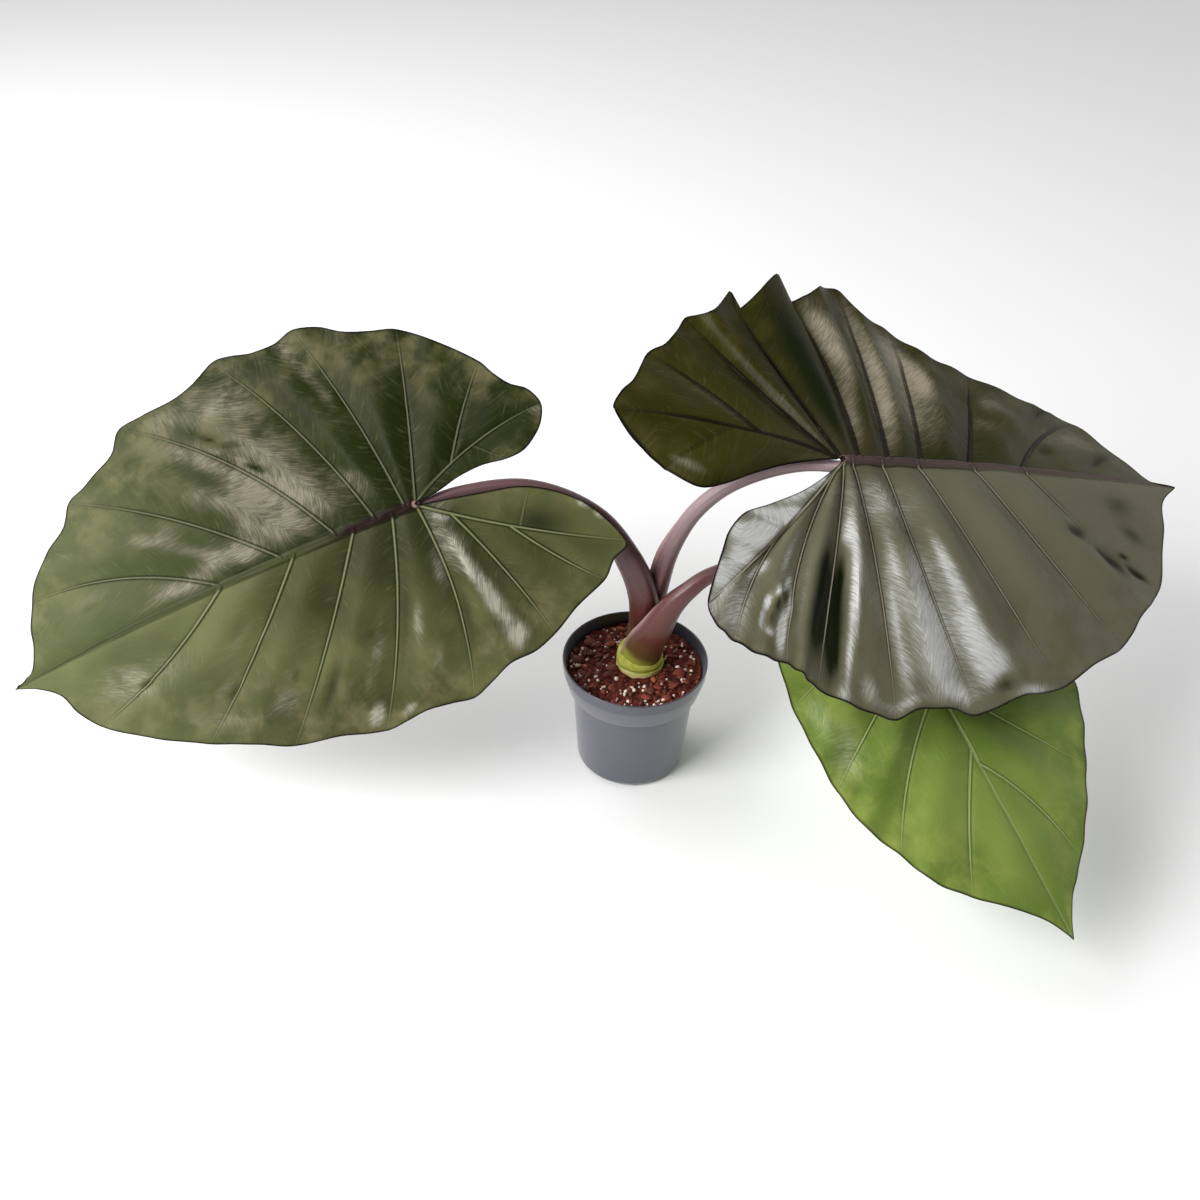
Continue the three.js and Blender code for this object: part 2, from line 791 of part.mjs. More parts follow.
function soilSolid(stemHole) {
  const points = [];
  const faces = [];
  const topRadius = innerRadius(soilLevel) - seatGap - 1;
  const levels = [
    [innerRadius(90) - soilInset, 90],
    [innerRadius(bandLowerHeight + 2.4) - soilInset, bandLowerHeight + 2.4],
    [bodyUpperRadius - potWall - soilInset, bandLowerHeight + 0.5],
    [bodyLowerRadius - potWall - soilInset, 8.4],
    [41.2, 3.8],
    [39.2, floorThickness + seatGap],
  ];
  points.push(new THREE.Vector3(0, 0, soilHeight(0, 0)));
  for (let i = 1; i <= soilRings; i += 1) {
    const radius = (topRadius * i) / soilRings;
    for (let k = 0; k < soilSegments; k += 1) {
      const angle = (2 * Math.PI * (k + 0.5 * (i % 2))) / soilSegments;
      const x = radius * Math.cos(angle);
      const y = radius * Math.sin(angle);
      const z = soilHeight(x, y) - (i === soilRings ? 1 : 0);
      points.push(new THREE.Vector3(x, y, z));
    }
  }
  levels.forEach(([radius, z], i) => {
    for (let k = 0; k < soilSegments; k += 1) {
      const angle = (2 * Math.PI * (k + 0.5 * ((i + soilRings + 1) % 2))) / soilSegments;
      points.push(new THREE.Vector3(radius * Math.cos(angle), radius * Math.sin(angle), z));
    }
  });
  const rings = soilRings + levels.length;
  const ring = (i, k) => 1 + (i - 1) * soilSegments + ((k + soilSegments) % soilSegments);
  for (let k = 0; k < soilSegments; k += 1) faces.push([0, ring(1, k), ring(1, k + 1)]);
  for (let i = 1; i < rings; i += 1) {
    for (let k = 0; k < soilSegments; k += 1) {
      if (i % 2) {
        faces.push([ring(i, k), ring(i + 1, k), ring(i + 1, k + 1)]);
        faces.push([ring(i, k), ring(i + 1, k + 1), ring(i, k + 1)]);
      } else {
        faces.push([ring(i, k), ring(i + 1, k), ring(i, k + 1)]);
        faces.push([ring(i, k + 1), ring(i + 1, k), ring(i + 1, k + 1)]);
      }
    }
  }
  const bottom = points.length;
  points.push(new THREE.Vector3(0, 0, floorThickness + seatGap));
  for (let k = 0; k < soilSegments; k += 1) faces.push([bottom, ring(rings, k + 1), ring(rings, k)]);
  let solid = closedSolid(pieceGeometry(points, faces));

  // Perlite grains, half sunk in the surface.
  const next = seededNumbers(20261);
  for (let n = 0; n < grainCount; n += 1) {
    const angle = next() * 2 * Math.PI;
    const radius = Math.sqrt(between(0.16, 0.86, next())) * topRadius;
    const x = radius * Math.cos(angle);
    const y = radius * Math.sin(angle);
    const size = between(grainRadiusLeast, grainRadiusMost, next());
    const grain = new THREE.IcosahedronGeometry(size, 0);
    grain.scale(1, between(0.7, 1, next()), 0.8);
    grain.rotateZ(next() * 3);
    grain.translate(x, y, soilHeight(x, y) - size * 0.25);
    if (Math.hypot(x - stemBase.x, y - stemBase.y) > stemBaseRadius + 3) {
      solid = solid.add(closedSolid(grain));
    }
  }
  return solid.subtract(stemHole);
}

// The stump: a pale ring low down, a leaf scar, then the swollen green collar.
function stemBaseGeometry(grow = 0, top = stemBaseTop) {
  const geometry = turned(
    [
      [0, stemBaseBottom - grow],
      [stemBaseRadius - 5 + grow, stemBaseBottom - grow],
      [stemBaseRadius - 1 + grow, stemBaseBottom + 6],
      [stemBaseRadius + grow, stemBaseTop - 20],
      [stemBaseRadius + 0.4 + grow, stemBaseTop - 11.5],
      [stemBaseRadius - 0.9 + grow, stemBaseTop - 10],
      [stemBaseRadius - 0.2 + grow, stemBaseTop - 8],
      [stemBaseRadius - 0.6 + grow, stemBaseTop - 4],
      [stemBaseRadius - 1.6 + grow, top],
      [0, top],
    ],
    32
  );
  geometry.translate(stemBase.x, stemBase.y, 0);
  return geometry;
}

function part(name, geometry, look) {
  const mesh = new THREE.Mesh(geometry, material(look));
  mesh.name = name;
  return mesh;
}

const plant = new THREE.Group();

plant.add(part('pot', geometryFrom(potSolid()), 'pot'));
const stemHole = closedSolid(stemBaseGeometry(seatGap, stemBaseTop + 20));
plant.add(part('soil', geometryFrom(soilSolid(stemHole)), 'soil'));
plant.add(part('stem_base', geometryFrom(closedSolid(stemBaseGeometry())), 'stemBase'));

const blades = { left: leftLeaf, right: rightLeaf, low: lowLeaf };
const seats = {};
Object.entries(blades).forEach(([name, leaf]) => {
  seats[name] = closedSolid(bladeGeometry(leaf, 6, seatGap));
});

// The right stalk grows out beside the left one, and the low stalk's sheath wraps
// the front of both, so each is cut back from the ones it wraps.
const leftWide = closedSolid(stalkGeometry(leftStalk, seatGap));
const rightWide = closedSolid(stalkGeometry(rightStalk, seatGap));
const leftSolid = closedSolid(stalkGeometry(leftStalk)).subtract(seats.left);
const rightSolid = closedSolid(stalkGeometry(rightStalk)).subtract(leftWide).subtract(seats.right);
const lowSolid = closedSolid(stalkGeometry(lowStalk)).subtract(leftWide).subtract(rightWide).subtract(seats.low);
plant.add(part('stalk_left', geometryFrom(leftSolid), 'stalk'));
plant.add(part('stalk_right', geometryFrom(rightSolid), 'stalk'));
plant.add(part('stalk_low', geometryFrom(lowSolid), 'stalk'));

plant.add(part('blade_left', bladeGeometry(leftLeaf), 'darkBlade'));
plant.add(part('blade_right', bladeGeometry(rightLeaf), 'metalBlade'));
plant.add(part('blade_low', bladeGeometry(lowLeaf), 'greenBlade'));

export default plant;
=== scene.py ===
import math
import bmesh
import bpy
import numpy as np
from mathutils import Matrix, Vector


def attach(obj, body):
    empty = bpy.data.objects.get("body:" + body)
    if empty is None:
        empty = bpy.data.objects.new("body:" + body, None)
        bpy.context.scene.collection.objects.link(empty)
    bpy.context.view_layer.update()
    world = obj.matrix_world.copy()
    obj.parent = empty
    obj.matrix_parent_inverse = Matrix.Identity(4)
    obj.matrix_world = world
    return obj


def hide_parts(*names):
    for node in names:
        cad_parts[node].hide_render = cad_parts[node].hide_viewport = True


# Potted metalhead alocasia: the looks of the plant and its pot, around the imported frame.
# Blender works in metres. The shapes below are in millimetres and are scaled when a mesh is made.
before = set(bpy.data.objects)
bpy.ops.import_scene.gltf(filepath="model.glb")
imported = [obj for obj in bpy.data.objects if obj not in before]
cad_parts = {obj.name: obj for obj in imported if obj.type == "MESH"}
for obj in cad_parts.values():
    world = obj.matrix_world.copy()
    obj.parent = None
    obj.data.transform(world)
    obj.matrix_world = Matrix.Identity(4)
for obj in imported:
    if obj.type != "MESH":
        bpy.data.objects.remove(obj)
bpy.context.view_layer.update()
MM = 0.001
TINY = 1e-9

# Camera, as solved from the photograph: a 1200 x 1200 frame with its middle at (600, 600)
PHOTO_SIZE = 1200
FOCAL_PIXELS = 1210
CAMERA_PLACE = (-0.03093, -0.75095, 0.76744)
CAMERA_PITCH = math.radians(38.7)
CAMERA_ROLL = math.radians(2.2)

# Floor and light in metres. A patch of the room is dimmer or brighter than the rest, and has a
# direction, an edge and a core angle, and a strength. A lamp is a name, its place, the place that it
# points at, a size and a power.
FLOOR_HALF_SIZE = 12
ROOM_HORIZON = 0.8
ROOM_TOP = 0.36
ROOM_PATCHES = (
    ((0.2, -0.8, 0.6), 60, 20, -0.4),
    ((-1.0, -0.1, 0.2), 50, 15, 1.5),
    ((1.0, 0.1, 0.3), 45, 15, 0.7),
)
LAMPS = (
    ("key", (-1.8, -1.2, 1.8), (0.1, 0, 0.15), 1.5, 74),
    ("back", (-1.4, 0.9, 1.9), (0, 0, 0.15), 1.6, 20),
)

# Pot, stem base and soil, the same sizes as their solids. A rounding is pairs of radius and height, the
# crumb is a seed, a number of waves, and the shortest and the longest of them.
POT_HEIGHT = 107
RIM_RADIUS = 60
BAND_LOWER_RADIUS = 55
BAND_LOWER_HEIGHT = 80
BODY_UPPER_RADIUS = 51
BODY_LOWER_RADIUS = 46
BODY_LOWER_HEIGHT = 8
FOOT_RADIUS = 42
FOOT_ROUNDING = ((44.5, 1.2), (45.8, 4))
POT_WALL = 1.4
FLOOR_THICKNESS = 2.2
FLOOR_ROUNDING = ((42.6, 3.6), (40, FLOOR_THICKNESS))
POT_SEGMENTS = 160
PROFILE_ROUNDING = 0.9
DRAIN_HOLE_RADIUS = 3.5
DRAIN_HOLE_CIRCLE = 28
DRAIN_HOLE_COUNT = 6
DRAIN_HOLE_SEGMENTS = 28
FOOT_NOTCH_WIDTH = 8
FOOT_NOTCH_LENGTH = 9
FOOT_NOTCH_CIRCLE = 48
FOOT_NOTCH_HEIGHT = 3
FOOT_NOTCH_ANGLE = -80
STEM_BASE_PLACE = (4, 5)
STEM_BASE_RADIUS = 19.5
STEM_BASE_BOTTOM = 62
STEM_BASE_TOP = 112
STEM_BASE_SEGMENTS = 112
SOIL_LEVEL = 97.5
SOIL_LUMP = 1.8
SOIL_INSET = 0.7
SOIL_GAP = 0.3
SOIL_BEVEL = 1
SOIL_SHOULDER = 90
SOIL_BAND_STEP = (2.4, 0.5)
SOIL_FOOT = ((41.2, 3.8), (39.2, FLOOR_THICKNESS + SOIL_GAP))
SOIL_FOOT_RISE = 0.4
STEM_HOLE_GAP = 0.15
SOIL_RINGS = 60
SOIL_SEGMENTS = 150
CRUMB = (5, 14, 2.4, 7)
CRUMB_HEIGHT = 0.55
GRAIN_SEED = 20261
PERLITE_SEED = 8
BARK_SEED = 31
GRAIN_COUNT = 46
GRAIN_RADIUS = (1.2, 2.0)
ALL_GRAINS_COUNT = 150
BARK_COUNT = 330
BARK_SIZES = (1.3, 2.2, 3.2, 4.6)
BARK_SHARES = (0.45, 0.3, 0.17, 0.08)
BARK_TILT = 0.3

# Stalks
STALK_SIDES = 64
STALK_STEPS = 170
SIDE_CROWDING = 0.35
FLUTE_COUNT = 9
FLUTE_SHARE = 0.012
WING_RISE = 0.25
WING_FALL = 0.35
PALE_WING = 1.2
ROUND_ANGLE = 60

# Blades. An edge reaches this far out of a half width and into it, a painted shade line beside a vein is an
# offset and a width, and the ripple is a number of waves, and the shortest and the longest of them.
BLADE_THICKNESS = 0.7
CROWN_HALF_WIDTH = 0.6
CROWN_TAPER = 12
CROWN_TIP_WIDTH = 0.35
CROWN_START = -6
CROWN_EDGE = (0.6, 0.4)
CROWN_ROUNDING = 0.7
CROWN_PAINTED_SHADE = (0.8, 0.6)
CROWN_GROOVE_DEPTH = 0.5
FOLD_ROUNDING = 8
CURL_WIDTH = 150
SWELL_REACH = 60
INNER_VEIN_SHARE = 0.3
VEIN_EDGE = (0.35, 0.3)
VEIN_HEIGHT = 0.5
VEIN_FADE = 0.8
VEIN_PAINTED_SHADE = (0.4, 0.5)
CREASE_WIDTH = 0.45
GROOVE_DEPTH = 0.7
GROOVE_SPREAD = 1.3
RIB_CLEARANCE = 6
DENT_DEPTH = 1.6
RIPPLE = (9, 22, 60)
RIPPLE_REACH = 50
CALM_MARGIN = 14
FRILL_WAVES = 2.3
FRILL_HEIGHT = 0.9
FRILL_REACH = 80
JOINT_ZONE = 55
EDGE_BAND = (2.0, 0.5)
BARB_LEAN = 0.5
BARB_CURVE = 0.02
BARB_REACH = 80
SHARP_ANGLE = 50

# The blades' grids, and the steps of the lines and searches on them
VEIN_OFFSETS = (0, 0.006, 0.013, 0.021, 0.03, 0.041, 0.055, 0.074, 0.1)
FILL_STEPS = 13
TIP_FILL_STEPS = 28
ROW_SHARES = (
    0, 0.004, 0.009, 0.015, 0.022, 0.03, 0.04, 0.052, 0.066, 0.083, 0.102, 0.125,
    *np.linspace(0.15, 0.93, 33).tolist(), 0.95, 0.966, 0.98, 0.99, 0.995, 1,
)
VEIN_STEPS = 48
RIB_STEPS = 40
CROWN_STEPS = 60
FAR_FROM_VEINS = 1e3
SEARCH_RAYS = 80
SEARCH_SHARES = 120
SEARCH_STEP = 0.02

# Where a look changes: a pair of heights in metres, from one tone to the next
STALK_GREY_HEIGHTS = (0.17, 0.27)
STALK_MAUVE_HEIGHTS = (0.15, 0.22)
STALK_BROWN_HEIGHTS = (0.156, 0.126)
STALK_GREEN_HEIGHTS = (0.1285, 0.1185)
COLLAR_TOP_HEIGHTS = (0.1018, 0.1034)
COLLAR_SCAR_RISE = (0.1004, 0.1018)
COLLAR_SCAR_FALL = (0.1034, 0.1023)
BAND_SHADE_HEIGHTS = (0.08, 0.0812)
INSIDE_HEIGHTS = (0.0805, 0.082)
# The slope of the rim band's walls, and two levels between them: radius less that slope times the height
INSIDE_SLOPE = 0.185
INSIDE_LEVELS = (0.0397, 0.0391)
# From joint to tip in decimetres, and how strong the joint's zone is at the edge of its knot
LEAF_TIP_ZONE = (0.8, 3.2)
JOINT_KNOT = (0.9962, 0.9993)


def inner_radius(z):
    """Radius of the pot's inner wall at a height."""
    low, high = (BODY_LOWER_HEIGHT, BODY_LOWER_RADIUS), (BAND_LOWER_HEIGHT, BODY_UPPER_RADIUS)
    if z > BAND_LOWER_HEIGHT:
        low, high = (BAND_LOWER_HEIGHT, BAND_LOWER_RADIUS), (POT_HEIGHT, RIM_RADIUS)
    return low[1] + (high[1] - low[1]) * ((z - low[0]) / (high[0] - low[0])) - POT_WALL


SOIL_TOP_RADIUS = inner_radius(SOIL_LEVEL) - SOIL_GAP - SOIL_BEVEL


def vein(start, x, y, bow=0, lift=0):
    """A vein from its start on the midrib, as x, or on the rib, as a share, to x and y on the margin."""
    return {"start": start, "end": np.array([x, y], float), "bow": bow, "lift": lift}


def gap(swell, *bulges, lean=0, wave=0):
    """The blade between two veins: its swell, and how far the margin bulges at even steps."""
    return {"swell": swell, "bulges": bulges, "lean": lean, "wave": wave}


# Leaves: the joint with the stalk, the tip and the turn about the line between them. In the leaf's own
# plane x runs from joint to tip. Each half lists its veins from the tip to the stalk, the basal rib with
# the veins outside and inside it, and the gaps between them: how each swells, how its margin bulges, leans
# and waves. Dents and painted light are marks seen in the photograph: x and y there, half widths across and
# along the veins, all in its pixels, and an amount. A dent of less than nothing is a hollow. Painted light
# above nothing is a painted highlight and sheen, and below nothing a painted shade in a fold.

LEFT_LEAF_NEAR = dict(
    side=1, fold=5, curl=0.06, rib_bend=(-61, 50), rib_tip=(-131, 88),
    veins=(
        vein(161, 301, 54, -7), vein(99, 227, 101, -4), vein(50, 167, 129, -4), vein(19, 97, 147, -7),
        vein(0, 24, 151, -9),
    ),
    outer=(vein(0.17, -53, 131, -3), vein(0.45, -104, 109, 2)),
    inner=(vein(0.5, -82, 22),),
    gaps=(
        gap(2, -8.4, -10.9, -3.4), gap(4, 2), gap(5, -1), gap(5, -2), gap(5, -1.6, -4, -2.3),
        gap(5, -1.3, -3.3, 1.2), gap(3, -1.5), gap(2, -1), gap(2, 10), gap(2, 1),
    ),
    dents=(
        (331, 689, 6, 30, -1.6), (235, 690, 5, 10, -1.8), (147, 684, 5, 6, -1.6), (242, 630, 4, 9, -1.2),
        (297, 676, 6, 9, -1.4), (408, 648, 6, 24, -1.3), (452, 590, 6, 36, -1.4), (482, 596, 8, 45, 1.3),
        (445, 688, 10, 9, -1.2), (352, 640, 7, 35, 1), (376, 708, 6, 16, 1), (500, 512, 8, 8, 0.8),
        (262, 640, 5, 9, 0.8),
    ),
    painted_light=(
        (236, 640, 10, 30, 0.2), (226, 690, 9, 12, 0.3), (235, 693, 4, 9, -0.7), (296, 672, 12, 14, 0.35),
        (297, 677, 4, 6, -0.6), (331, 689, 6, 26, -0.7), (345, 706, 9, 12, 0.15), (376, 655, 8, 40, 0.4),
        (284, 704, 14, 14, 0.4), (345, 650, 6, 30, -0.15), (378, 715, 7, 12, 0.85), (411, 709, 9, 7, 0.6),
        (468, 565, 5, 24, 0.8), (494, 600, 8, 30, 0.95), (518, 632, 10, 16, 0.85), (418, 622, 7, 24, 0.45),
        (440, 660, 8, 20, 0.3), (440, 516, 10, 6, 0.5), (466, 612, 6, 34, -0.6), (405, 605, 7, 26, -0.4),
        (448, 540, 14, 34, 0.5), (440, 575, 8, 20, 0.35), (550, 530, 24, 44, -0.45),
        (588, 545, 20, 34, -0.35), (440, 505, 14, 14, 0.25), (412, 660, 5, 22, -0.4), (425, 700, 8, 7, -0.4),
        (583, 503, 8, 5, 1), (598, 514, 6, 4, 0.7), (160, 670, 40, 30, 0.3), (120, 690, 34, 24, 0.25),
        (230, 720, 40, 12, 0.25), (147, 684, 4, 4, -0.6), (600, 600, 20, 20, 0.12), (530, 520, 24, 14, -0.5),
    ),
)
LEFT_LEAF_FAR = dict(
    side=-1, fold=5, curl=0.06, rib_bend=(-54, -30), rib_tip=(-115.3, -30.3),
    veins=(
        vein(162, 311, -56, -12), vein(109, 252, -114, -8), vein(64, 192, -150, -13),
        vein(32, 105, -166, -8), vein(8, 38, -162, -5), vein(0, -37, -128, -2),
    ),
    outer=(vein(0.33, -85, -79, 2),),
    inner=(vein(0.5, -75, -3),),
    gaps=(
        gap(2, -12, -10, -4), gap(4, 3.3, 1.3, -3.1), gap(5, -3, -6.3, -6.7), gap(5, -2.8, -6.6, -6.5),
        gap(5, -1.4, -5.5, -5.4), gap(4, 2.6, -1.7, -1), gap(3, 2.2), gap(2, -1.3, -1, 3.2),
        gap(2, 7.6, 9.2, 7.7), gap(2, -3.7, -3.5, -0.4),
    ),
    dents=(
        (207, 440, 4, 9, -3), (218, 449, 4, 9, 2.6), (232, 450, 9, 9, 1.6), (255, 467, 4, 10, -3),
        (178, 488, 5, 8, -1), (265, 435, 5, 12, -0.9), (150, 545, 7, 14, 0.9), (95, 570, 6, 9, -0.8),
        (90, 610, 6, 7, -0.9), (295, 460, 5, 10, -0.8),
    ),
    painted_light=(
        (298, 494, 26, 42, 0.75), (258, 446, 22, 38, 0.55), (226, 400, 24, 32, 0.6), (180, 418, 24, 22, 0.6),
        (240, 480, 30, 30, 0.5), (270, 507, 9, 38, 0.6), (205, 464, 9, 38, 0.5), (262, 526, 15, 28, 0.75),
        (240, 552, 22, 18, 0.85), (205, 574, 22, 14, 0.6), (188, 448, 14, 22, 0.35), (165, 532, 18, 20, 0.3),
        (205, 500, 12, 26, 0.35), (145, 541, 7, 24, 0.55), (195, 552, 7, 26, 0.4), (175, 590, 10, 36, 0.35),
        (90, 600, 14, 20, 0.3), (58, 560, 9, 22, 0.35), (283, 350, 10, 16, 0.65), (306, 374, 8, 16, 0.65),
        (325, 396, 7, 18, 0.5), (350, 440, 7, 28, 0.35), (358, 482, 13, 22, 0.45), (534, 408, 6, 12, 0.6),
        (500, 468, 20, 5, 0.05), (335, 370, 9, 20, -0.3), (375, 450, 16, 36, -0.35),
        (270, 388, 12, 22, -0.3), (300, 410, 10, 26, -0.5), (400, 400, 30, 50, -0.3),
        (480, 410, 22, 30, -0.3), (440, 450, 20, 30, -0.3), (150, 470, 30, 30, 0.12),
        (207, 440, 2.5, 8, -0.8), (256, 468, 2.5, 9, -0.8), (218, 452, 3, 6, 0.7), (243, 462, 3, 6, 0.6),
        (232, 445, 5, 5, -0.6),
    ),
)
LEFT_LEAF = dict(
    joint=(-171, -7, 256), tip=(-485, -68, 108), turn=-51.7, arch=8, rear=1, bend=-5, crown_width=3,
    ridge_height=1.8, rib_width=1.2, vein_width=(1.2, 0.35), keel=2.6, ripple=0.45,
    halves=(LEFT_LEAF_NEAR, LEFT_LEAF_FAR),
)
RIGHT_LEAF_FAR = dict(
    side=1, fold=2, curl=0, rib_bend=(-72, 40), rib_tip=(-161.2, 47.1), vein_width=(1.3, 0.5),
    veins=(
        vein(158, 245.2, 55.8, -8), vein(108, 156.4, 96.5, 1), vein(65, 95.9, 139.1, 4),
        vein(37, 60.4, 182.3, 5, 3), vein(13, 8.2, 158.9, 9, 8), vein(0, -40.3, 148.8, -2, 6),
    ),
    outer=(vein(0.06, -82.1, 140.6, -2), vein(0.38, -121, 103.6, 3)),
    inner=(vein(0.5, -122.7, 12.6, 0, -26),),
    gaps=(
        gap(2, -14, -11, -4), gap(5, -3), gap(6, -7), gap(6, -3.1, -7.9, -0.5),
        gap(7, 3.1, 0.2, -1.9, wave=2), gap(7, 15.9, 21.5, 14.3, 5.4, 0.6, lean=-0.6, wave=9),
        gap(6, 17.4, 11.4, 2.5, -4.1, -4.4, -1.2, 0.7, lean=-0.6, wave=5), gap(4, -2.4, -4.1, -3.7),
        gap(3, -0.3, -1, 2.2), gap(2, -1.2, wave=-6), gap(2, 15.4, 12.6, 4.5, -0.7, -1, wave=-6),
    ),
    dents=(
        (1037, 413, 5, 8, -1.8), (1096, 462, 6, 10, -1.8), (1045, 452, 8, 5, -1), (906, 366, 10, 10, 1.3),
        (958, 396, 10, 7, -1.1), (1000, 415, 10, 7, 0.9), (700, 462, 9, 6, 1), (720, 470, 5, 4, -0.8),
    ),
    painted_light=(
        (690, 385, 6, 26, 0.16), (730, 410, 7, 26, 0.2), (772, 400, 8, 22, 0.2), (792, 390, 3, 36, 0.3),
        (752, 345, 8, 30, -0.3), (797, 345, 16, 66, -1.1), (828, 408, 9, 40, -0.9), (815, 325, 11, 30, 0.45),
        (836, 345, 14, 44, 0.65), (850, 415, 9, 34, 0.5), (864, 350, 15, 50, 0.65), (882, 410, 13, 40, 0.6),
        (905, 392, 13, 40, 0.55), (684, 462, 24, 6, 0.4), (680, 421, 3, 26, 0.2), (893, 358, 10, 22, 0.8),
        (922, 382, 10, 14, 0.6), (990, 404, 14, 8, 0.4), (985, 425, 16, 7, 0.25), (1062, 440, 34, 12, 0.3),
        (1078, 440, 16, 8, 0.25), (1110, 480, 40, 12, 0.25), (940, 425, 60, 34, 0.2),
        (1037, 414, 5, 8, -0.9), (1099, 460, 6, 10, -0.9), (1044, 450, 8, 5, -0.6),
    ),
)
RIGHT_LEAF_NEAR = dict(
    side=-1, fold=20, curl=0.05, rib_bend=(-50, -50), rib_tip=(-116, -93.8), vein_width=(0.6, 0.25), faint=1,
    veins=(
        vein(159, 285, -87, -7), vein(109, 234, -130, -3), vein(59, 165, -159, -1), vein(30, 87, -174, -3),
        vein(6, 19, -173, 3), vein(0, -40, -150, 1),
    ),
    outer=(vein(0.08, -62, -134, -10), vein(0.35, -98.6, -117.9, -9)),
    inner=(vein(0.5, -83, -37.3),),
    gaps=(
        gap(2, -12.4, -7.7, -2.2), gap(7, -1.8), gap(8, -1), gap(8, -2), gap(8, -2.5, -3.9, -4.7),
        gap(7, 3.8), gap(5, 0), gap(4, 2.5), gap(3, 4.5), gap(2, 3.1, 4.4, 5.7), gap(2, -2.8, -5.3, -4),
    ),
    dents=(
        (842, 608, 8, 58, -3.2), (856, 600, 5, 60, 1.6), (822, 605, 8, 60, -1.5), (777, 600, 5, 14, 2.6),
        (786, 590, 3.5, 9, -2.2), (766, 617, 3.5, 8, -1.8), (791, 612, 3.5, 15, 1.6),
        (745, 520, 10, 14, 1.6), (735, 560, 8, 14, -1.2), (1077, 532, 4, 9, -1.4), (1109, 556, 5, 13, -1.8),
        (1136, 572, 4, 10, -1.4), (1120, 520, 12, 18, -1.2), (1006, 684, 12, 9, -2), (985, 640, 14, 45, 1.4),
        (905, 620, 12, 50, -1), (872, 690, 6, 14, 1.2),
    ),
    painted_light=(
        (815, 482, 8, 14, 0.9), (790, 495, 9, 16, 0.9), (762, 512, 8, 16, 0.9), (740, 533, 8, 16, 0.8),
        (722, 565, 8, 22, 0.75), (714, 598, 7, 20, 0.6), (790, 515, 9, 12, 1.7), (738, 600, 14, 26, 0.35),
        (903, 620, 4, 50, -0.4), (890, 505, 14, 24, 0.22), (768, 527, 9, 12, 1), (754, 537, 13, 20, 1.3),
        (742, 556, 8, 14, 1), (771, 518, 3, 9, -0.35), (746, 543, 3, 12, -0.35), (718, 578, 5, 10, 1.5),
        (760, 567, 6, 8, 0.9), (789, 555, 4, 25, 0.45), (788, 582, 3, 7, 1), (778, 592, 3, 6, 1.1),
        (768, 602, 3, 7, 1.1), (763, 618, 3, 8, 1.1), (769, 631, 5, 4, 0.9), (782, 630, 4, 18, 1.7),
        (790, 602, 2.5, 13, 0.8), (777, 606, 3, 6, -1.2), (785, 597, 2, 4, -1), (772, 620, 2.5, 5, -0.8),
        (806, 590, 6, 55, 0.3), (822, 604, 9, 52, -1.7), (838, 618, 7, 50, -2.5), (826, 560, 4, 16, -0.5),
        (844, 538, 5, 14, 0.5), (851, 528, 7, 18, 0.75), (858, 556, 5, 22, 0.85), (855, 602, 4.5, 38, 1),
        (848, 655, 4, 28, 0.85), (842, 695, 8, 12, 0.6), (874, 590, 12, 60, 0.22), (870, 690, 9, 14, 0.45),
        (893, 560, 6, 30, 0.5), (897, 612, 8, 40, 0.6), (907, 672, 9, 30, 0.5), (917, 565, 8, 28, 0.45),
        (929, 612, 12, 36, 0.85), (941, 662, 14, 34, 0.95), (958, 694, 14, 12, 0.5), (941, 552, 5, 22, 0.5),
        (959, 590, 8, 34, 0.62), (974, 640, 13, 36, 0.82), (995, 664, 18, 22, 0.95), (1034, 690, 15, 8, 0.7),
        (1007, 683, 9, 8, -1.2), (900, 707, 26, 6, 0.4), (1077, 531, 2.5, 8, -1.6), (1110, 560, 3, 16, -2.2),
        (1124, 556, 2, 5, -1.4), (1137, 573, 2.5, 11, -1.8), (1118, 506, 9, 13, -0.6),
        (1132, 535, 5, 14, -0.7), (1010, 610, 24, 30, -0.1), (860, 500, 18, 26, 0.25),
        (735, 620, 12, 24, 0.3), (760, 655, 10, 12, 0.2),
    ),
)
RIGHT_LEAF = dict(
    joint=(138, -14, 313), tip=(440, 98, 229), turn=19.4, arch=9, rear=1, bend=-3, crown_width=3.4,
    ridge_height=3.2, rib_width=1.1, vein_width=(1.1, 0.3), keel=2.6, ripple=0.45,
    halves=(RIGHT_LEAF_FAR, RIGHT_LEAF_NEAR),
)
LOW_LEAF_RIGHT = dict(
    side=1, fold=8, curl=0.05, rib_bend=(-45, 40), rib_tip=(-92, 62),
    veins=(
        vein(141, 229, 37, -6), vein(75, 173, 82, 1), vein(38, 112, 116), vein(8, 42, 124),
        vein(0, -28, 108),
    ),
    outer=(vein(0.35, -72, 86),),
    inner=(vein(0.5, -52, 14),),
    gaps=(
        gap(2, -4, -5, -3), gap(4, 1), gap(5, 1), gap(5, 0), gap(5, 0), gap(4, 0), gap(3, 2), gap(2, 8),
        gap(2, 1),
    ),
    dents=(),
    painted_light=(),
)
